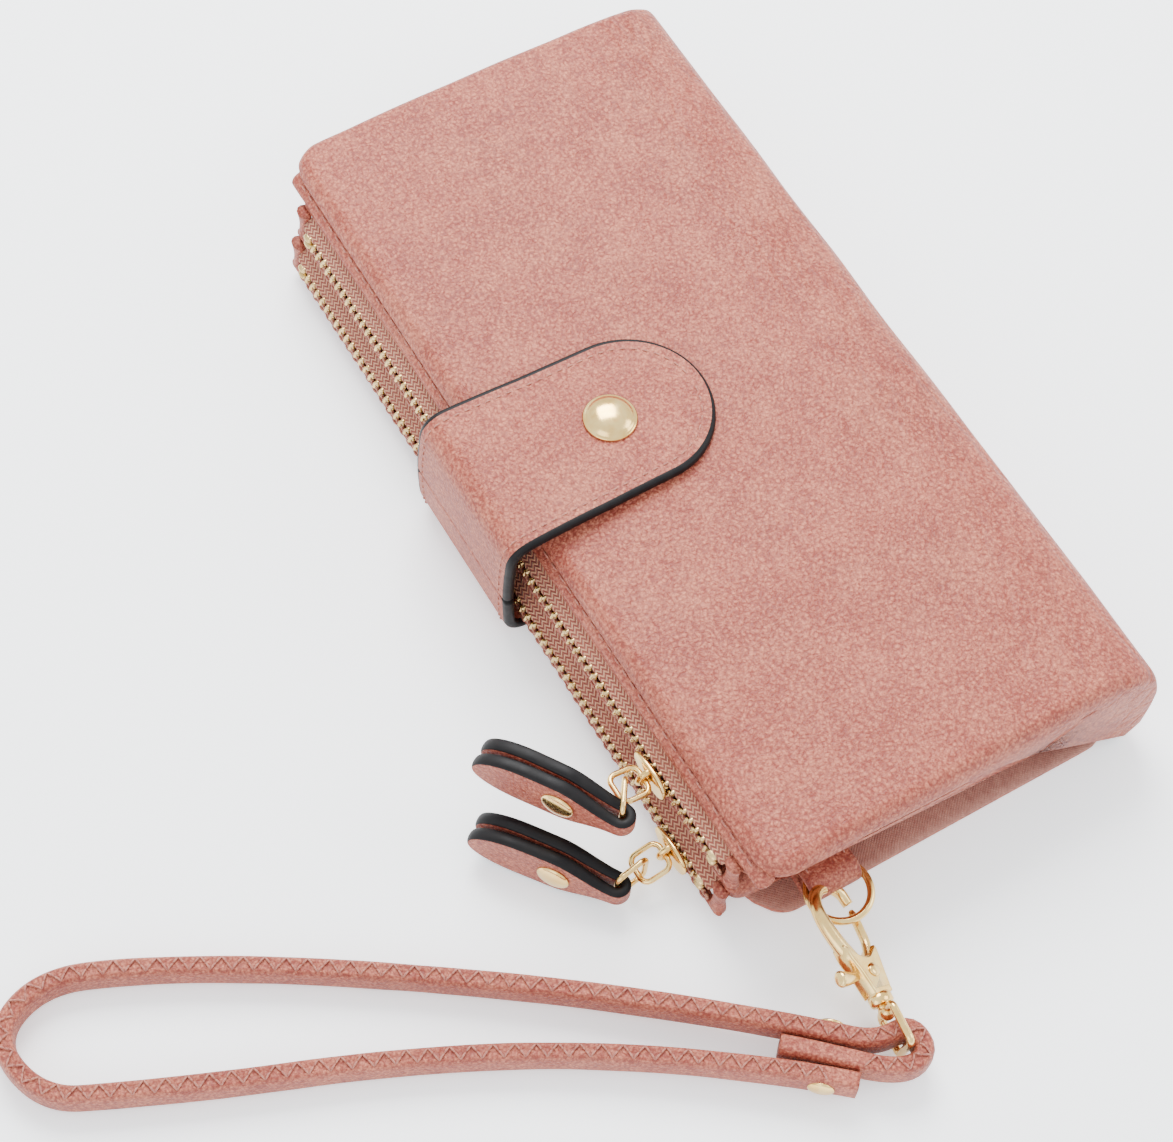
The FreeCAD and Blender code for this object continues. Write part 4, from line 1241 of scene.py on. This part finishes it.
def build_tab():
    """The snap tab: two layers of leather with thick painted edges and a stitched border."""
    bend = TAB_QUARTER
    upright = TAB_UPRIGHT
    tip_past_middle = 1.0
    total = 2 * bend + upright - TAB_HIGH.y + tip_past_middle
    round_half = 17.5
    root_half = 18.5
    x0 = -4.0
    split = bend + upright * 0.45

    def half_width(u):
        if u < split:
            return root_half
        t = (u - split) / (total - round_half - split)
        return root_half + (round_half - root_half) * min(1.0, t)

    def outline(start, end):
        places = []
        straight_end = min(end, total - round_half)
        count = int((straight_end - start) / 1.4)
        for k in range(count + 1):
            u = start + (straight_end - start) * k / count
            places.append((u, half_width(u), 0.0, 1.0))
        if end > total - 1:
            for k in range(1, 25):
                angle = math.pi / 2 * k / 24
                s, c = math.sin(angle), math.cos(angle)
                places.append((total - round_half * (1 - s), round_half * c, s, c))
        return places

    def lift(along, across):
        """How far the tab's near edge stands off the cover."""
        over = max(0.0, along - (2 * bend + upright))
        side = max(0.0, across / round_half)
        return 0.9 * side**2 * math.sin(min(1.0, over / 45.0) * math.pi) ** 0.7 if over > 0 else 0.0

    def place(along, across, up):
        point, out = tab_path(along)
        return point + Vector((x0 + across, 0, 0)) + out * (up + lift(along, across))

    for name, start, end in (("tab_root", -3.5, split), ("tab_strap", split, total)):
        rings, kinds = strip_rings(outline(start, end), 2.5, 0.95, 14)
        shape = Shape()
        shape.rings([[place(*p) for p in ring] for ring in rings], kinds, caps=start < 0)
        inset = 2.9
        for side in (1, -1):
            line = []
            ups = []
            stations = outline(max(start, bend * 0.6), end)
            for u, width, normal_along, normal_across in stations:
                along = u - normal_along * inset
                across = side * (width - normal_across * inset)
                if side * across < 0:
                    continue
                line.append(place(along, across, 1.25))
                ups.append(tab_path(along)[1])
            shape.seam(line, ups, 3, 0.78)
        finishes = [leather(1.05, 0.0), edge_paint(), leather(1.2, 0.0, 0.92), sewing_thread()]
        piece = shape.build(name, finishes, 1)
        if start < 0:
            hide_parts("tab_wrap")
            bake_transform(piece)
        else:
            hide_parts("tab_flap", "tab_flap_lining")
            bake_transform(piece)

    low, high = corner_boxes("snap_cap")
    centre = Vector(((low.x + high.x) / 2, (low.y + high.y) / 2, high.z - 2.5))
    radius = (high.x - low.x) / 2
    shape = Shape()
    profile = (
        (0.90, -0.35), (1.0, -0.1), (1.03, 0.22), (0.99, 0.5), (0.93, 0.58), (0.90, 0.66),
        (0.84, 1.05), (0.74, 1.45), (0.60, 1.85), (0.42, 2.15), (0.22, 2.32), (0.05, 2.38),
    )
    knob = [(radius * size, rise) for size, rise in profile]
    shape.dome(centre, UP, knob, high=Vector((0, 1, 0)), count=48)
    piece = shape.build("snap_dome", [gold(0)])
    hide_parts("snap_cap")
    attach(piece, "tab_flap")


# ---------------------------------------------------------------- strap end


def build_side_loop():
    """The doubled leather that holds the ring, with a fold round its wire."""
    low, high = corner_boxes("side_loop")
    middle_y = (low.y + high.y) / 2
    middle_z = (low.z + high.z) / 2
    half = (high.y - low.y) / 2 + 1.7
    thick = 1.5
    radius = (high.z - low.z) / 2 + 0.35
    fold_x = high.x - radius - thick / 2 + 2.2
    straight = fold_x - low.x + 3.0
    arc = math.pi * radius
    total = 2 * straight + arc

    def path(u):
        if u < straight:
            squeeze = 0.75 * ((straight - u) / straight) ** 1.5
            return Vector((fold_x - straight + u, 0, radius - squeeze)), Vector((0, 0, 1))
        if u > straight + arc:
            back = u - straight - arc
            squeeze = 0.75 * (back / straight) ** 1.5
            return Vector((fold_x - back, 0, -radius + squeeze)), Vector((0, 0, -1))
        angle = math.pi / 2 - (u - straight) / radius
        out = Vector((math.cos(angle), 0, math.sin(angle)))
        return Vector((fold_x, 0, 0)) + out * radius, out

    count = 46
    stations = [(total * k / count, half, 0.0, 1.0) for k in range(count + 1)]
    rings, kinds = strip_rings(stations, thick, 0.45, 6)
    base = Vector((0, middle_y, middle_z))
    mapped = []
    for ring in rings:
        out = []
        for along, across, up in ring:
            point, away = path(along)
            out.append(base + point + Vector((0, across, 0)) + away * up)
        mapped.append(out)
    shape = Shape()
    shape.rings(mapped, kinds)
    for side in (1, -1):
        edge = base + Vector((0, side * (half - 1.5), thick / 2))
        shape.seam([edge + path(u)[0] for u in (2, straight * 0.5, straight - 0.5)], [UP] * 3, 3, 0.8)
    # The inner faces of the doubled leather get the darker copy (0.9): painted shade between the layers.
    finishes = [leather(1.2, 0.0), leather(1.2, 0.0, 0.85), leather(1.2, 0.0, 0.9), sewing_thread()]
    piece = shape.build("ring_loop", finishes, 1)
    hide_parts("side_loop")
    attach(piece, "back_leaf")


ROUTE = [
    (0.1298, -0.0457, 0.0060), (0.1245, -0.0517, 0.0060), (0.1175, -0.0606, 0.0056),
    (0.1070, -0.0745, 0.0048), (0.0935, -0.0960, 0.0041), (0.0810, -0.1220, 0.0039),
    (0.0718, -0.1455, 0.0039), (0.0635, -0.1645, 0.0039), (0.0575, -0.1770, 0.0039),
    (0.0425, -0.1800, 0.0039), (0.0365, -0.1675, 0.0039), (0.0430, -0.1515, 0.0039),
    (0.0545, -0.1305, 0.0039), (0.0695, -0.1075, 0.0040), (0.0860, -0.0845, 0.0046),
    (0.0995, -0.0675, 0.0052), (0.1105, -0.0545, 0.0058), (0.1180, -0.0460, 0.0060),
    (0.1248, -0.0385, 0.0060), (0.1248, -0.0309, 0.0060), (0.1318, -0.0309, 0.0060),
    (0.1318, -0.0379, 0.0060), (0.1212, -0.0488, 0.0060), (0.1158, -0.0550, 0.0060),
]


def strap_line():
    """Points read from the strap's smooth route."""
    curve = bpy.data.curves.new("strap_route", "CURVE")
    curve.dimensions = "3D"
    spline = curve.splines.new("NURBS")
    spline.points.add(len(ROUTE) - 1)
    for point, place in zip(spline.points, ROUTE):
        point.co = (*place, 1.0)
    spline.order_u = 3
    spline.use_endpoint_u = True
    spline.resolution_u = 12
    holder = bpy.data.objects.new("strap_route", curve)
    bpy.context.scene.collection.objects.link(holder)
    mesh = bpy.data.meshes.new_from_object(holder)
    points = [v.co / MM for v in mesh.vertices]
    bpy.data.objects.remove(holder)
    bpy.data.curves.remove(curve)
    bpy.data.meshes.remove(mesh)
    return points


def build_strap():
    """The wrist strap: leather folded round a core and closed with slanted stitches inside."""
    line = even_line(strap_line(), 1.0)
    width, thick = 7.5, 3.9
    stitch_out, stitch_sink, stitch_width = 1.25, 0.22, 0.42
    shape = Shape()
    rings = []
    sides = []
    count = len(line)
    section = []
    for angle in around(28):
        c, s = math.cos(angle), math.sin(angle)
        section.append((soft(c, 0.72) * thick / 2, soft(s, 0.55) * width / 2))
    for i, point in enumerate(line):
        along = (line[min(i + 1, count - 1)] - line[max(i - 1, 0)]).normalized()
        side = along.cross(UP).normalized()
        sides.append(side)
        swell = 1.0 + unevenness(point, 9.0, 0.05, 2.0)
        ring = []
        for out, high in section:
            seam = 0.35 if high > width / 2 - 0.4 and abs(out) < 0.7 else 0.0
            ring.append(point + side * out * swell + UP * (high - seam))
        rings.append(ring)
    shape.rings(rings, cap_kind=2)
    top = width / 2 + 0.02
    for i in range(6, count - 20, 4):
        for first, out in ((i, -stitch_out), (i + 2, stitch_out)):
            second = first + 2
            a = line[first] + sides[first] * out + UP * (top - stitch_sink)
            middle = (line[first] + line[second]) / 2 + UP * (top + 0.02)
            b = line[second] - sides[second] * out + UP * (top - stitch_sink)
            shape.stitch(a, middle, UP, stitch_width, 1)
            shape.stitch(middle, b, UP, stitch_width, 1)
    piece = shape.build("strap_leather", [leather(1.2, 0.0), sewing_thread(), leather(1.3, 0.0, 0.8)], 0, 0.0)
    path = [p * MM for p in line]
    length = sum((b - a).length for a, b in zip(path, path[1:]))
    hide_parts("wrist_strap")
    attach(piece, "strap")
    rivet = build_strap_rivet()


def build_strap_rivet():
    """The domed rivet that clamps the strap's layers."""
    low, high = corner_boxes("strap_rivet")
    centre = (low + high) / 2
    start = Vector(ROUTE[17]) / MM
    end = Vector((124.8, -38.5, 6.0))
    along = (end - start).normalized()
    axis = along.cross(UP).normalized()
    head_place = 6.7
    shape = Shape()
    cap = ((2.5, -0.75), (2.62, -0.4), (2.5, -0.1), (2.0, 0.1), (1.1, 0.22), (0.2, 0.26))
    for side in (1, -1):
        shape.dome(centre + axis * side * head_place, axis * side, cap, across=along, count=28)
    piece = shape.build("strap_rivet_caps", [gold(0)])
    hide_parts("strap_rivet")
    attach(piece, "strap")
    return piece


# ---------------------------------------------------------------- carried-over nodes


def dress_nodes():
    """Gives every CAD node that still shows its finish."""
    finishes = {
        "gold_metal": gold(0),
        "zip_teeth": gold(1),
        "leather": leather(1.1, 0.0),
        "suede_lining": leather(1.2, 0.0, 0.92),
        "board": stiff_board(),
        "pouch_lining": lining_cloth(),
        "foam": lining_cloth(),
        "zip_tape": zip_weave(),
        "clear_window": clear_sheet(),
    }
    for entry in frame["record"]["subparts"]:
        piece = frame["nodes"].get(entry["node"])
        if piece is None:
            continue
        material = finishes[entry["material_slot"]]
        if not piece.material_slots:
            raise RuntimeError(entry["node"] + " has no material slot")
        for holder in piece.material_slots:
            holder.link = "OBJECT"
            holder.material = material


# ---------------------------------------------------------------- stage


def floor_material():
    """Matt white card with faint clouds, slightly lit from within."""
    r = Recipe("floor")
    place = r.place()
    haze = r.noise(place, 6.0)
    base = r.blend(r.spread(haze, 0.3, 0.7), (0.94, 0.955, 0.96, 1.0), (0.96, 0.97, 0.975, 1.0))
    return r.finish(
        Base_Color=base,
        Roughness=r.spread(haze, 0.3, 0.7, 0.55, 0.7),
        Emission_Color=(0.95, 0.98, 1.0, 1.0),
        Emission_Strength=0.55,
    )


def build_stage():
    """A pale floor, soft lights and the camera."""
    mesh = bpy.data.meshes.new("floor")
    size = 3.0
    corners = [(-size, -size, 0), (size, -size, 0), (size, size, 0), (-size, size, 0)]
    mesh.from_pydata(corners, [], [(0, 1, 2, 3)])
    mesh.materials.append(floor_material())
    floor = bpy.data.objects.new("floor", mesh)
    bpy.context.scene.collection.objects.link(floor)

    world = bpy.data.worlds.new("studio")
    world.use_nodes = True
    sky = world.node_tree.nodes["Background"]
    sky.inputs[0].default_value = (0.93, 0.96, 1.0, 1.0)
    sky.inputs[1].default_value = 1.9
    bpy.context.scene.world = world

    for name, place, aim, wide, power in (
        ("key_light", (-0.50, 0.15, 0.75), (0, 0, 0), 0.55, 17.0),
        ("fill_light", (0.45, -0.75, 0.55), (0.02, -0.04, 0), 0.6, 3.0),
        ("rim_light", (0.35, 0.65, 0.45), (0, 0, 0), 0.4, 2.5),
    ):
        data = bpy.data.lights.new(name, "AREA")
        data.shape = "SQUARE"
        data.size = wide
        data.energy = power
        light = bpy.data.objects.new(name, data)
        light.location = place
        light.rotation_euler = (Vector(aim) - Vector(place)).to_track_quat("-Z", "Y").to_euler()
        bpy.context.scene.collection.objects.link(light)

    azimuth, height, roll = math.radians(54.3), math.radians(60.6), math.radians(5.8)
    distance, lowered = 0.554, 0.0035
    target = Vector((0.0052, -0.0300, 0.0))
    away = Vector(
        (math.sin(azimuth) * math.cos(height), -math.cos(azimuth) * math.cos(height), math.sin(height))
    )
    right = (-away).cross(Vector((0, 0, 1))).normalized()
    up = right.cross(-away)
    turned_right = math.cos(roll) * right + math.sin(roll) * up
    turned_up = -math.sin(roll) * right + math.cos(roll) * up
    data = bpy.data.cameras.new("camera")
    data.sensor_width = 36.0
    data.lens = 81.974
    data.clip_start = 0.01
    camera = bpy.data.objects.new("camera", data)
    matrix = Matrix((turned_right, turned_up, away)).transposed().to_4x4()
    matrix.translation = target + away * distance - turned_up * lowered
    camera.matrix_world = matrix
    bpy.context.scene.collection.objects.link(camera)
    bpy.context.scene.camera = camera


# ---------------------------------------------------------------- operators


class WALLET_OT_covers(bpy.types.Operator):
    """Build the padded cover, the spine and the back"""

    bl_idname = "wallet.covers"
    bl_label = "Covers"

    def execute(self, context):
        build_cover()
        build_back()
        build_hem()
        build_cards()
        return {"FINISHED"}


class WALLET_OT_zips(bpy.types.Operator):
    """Build both zipped pouches"""

    bl_idname = "wallet.zips"
    bl_label = "Zipped pouches"

    def execute(self, context):
        build_zip("lower", 11.0)
        build_zip("upper", 23.0)
        return {"FINISHED"}


class WALLET_OT_pulls(bpy.types.Operator):
    """Build both leather zip pulls"""

    bl_idname = "wallet.pulls"
    bl_label = "Zip pulls"

    def execute(self, context):
        build_pull("lower", -145.0, 0.6)
        build_pull("upper", -148.0, 1.0)
        return {"FINISHED"}


class WALLET_OT_metal(bpy.types.Operator):
    """Build the zip sliders and the trigger hook"""

    bl_idname = "wallet.metal"
    bl_label = "Metal fittings"

    def execute(self, context):
        build_slider("lower")
        build_slider("upper")
        build_hook()
        return {"FINISHED"}


class WALLET_OT_tab(bpy.types.Operator):
    """Build the snap tab and its cap"""

    bl_idname = "wallet.tab"
    bl_label = "Snap tab"

    def execute(self, context):
        build_tab()
        return {"FINISHED"}


class WALLET_OT_strap(bpy.types.Operator):
    """Build the ring's loop and the wrist strap"""

    bl_idname = "wallet.strap"
    bl_label = "Wrist strap"

    def execute(self, context):
        build_side_loop()
        build_strap()
        return {"FINISHED"}


class WALLET_OT_finishes(bpy.types.Operator):
    """Give the remaining parts their finishes"""

    bl_idname = "wallet.finishes"
    bl_label = "Finishes"

    def execute(self, context):
        dress_nodes()
        return {"FINISHED"}


class WALLET_OT_stage(bpy.types.Operator):
    """Set up the floor, the lights and the camera"""

    bl_idname = "wallet.stage"
    bl_label = "Stage"

    def execute(self, context):
        build_stage()
        return {"FINISHED"}


STEPS = (
    WALLET_OT_covers,
    WALLET_OT_zips,
    WALLET_OT_pulls,
    WALLET_OT_metal,
    WALLET_OT_tab,
    WALLET_OT_strap,
    WALLET_OT_finishes,
    WALLET_OT_stage,
)


class WALLET_PT_panel(bpy.types.Panel):
    """Settings and steps for the wallet"""

    bl_label = "Wristlet wallet"
    bl_idname = "WALLET_PT_panel"
    bl_space_type = "VIEW_3D"
    bl_region_type = "UI"
    bl_category = "Wallet"

    def draw(self, context):
        for group in (context.scene.wallet_cover, context.scene.wallet_stitch, context.scene.wallet_leather):
            column = self.layout.column(align=True)
            for key in group.__annotations__:
                column.prop(group, key)
        for step in STEPS:
            self.layout.operator(step.bl_idname)


SETTINGS = {
    "wallet_cover": WalletCoverSettings,
    "wallet_stitch": WalletStitchSettings,
    "wallet_leather": WalletLeatherSettings,
}


def register():
    for name, group in SETTINGS.items():
        bpy.utils.register_class(group)
        setattr(bpy.types.Scene, name, bpy.props.PointerProperty(type=group))
    for item in STEPS + (WALLET_PT_panel,):
        bpy.utils.register_class(item)


def unregister():
    for item in reversed(STEPS + (WALLET_PT_panel,)):
        bpy.utils.unregister_class(item)
    for name, group in SETTINGS.items():
        delattr(bpy.types.Scene, name)
        bpy.utils.unregister_class(group)


def main():
    register()
    bpy.ops.wallet.covers()
    bpy.ops.wallet.zips()
    bpy.ops.wallet.pulls()
    bpy.ops.wallet.metal()
    bpy.ops.wallet.tab()
    bpy.ops.wallet.strap()
    bpy.ops.wallet.finishes()
    bpy.ops.wallet.stage()


if __name__ == "__main__":
    main()
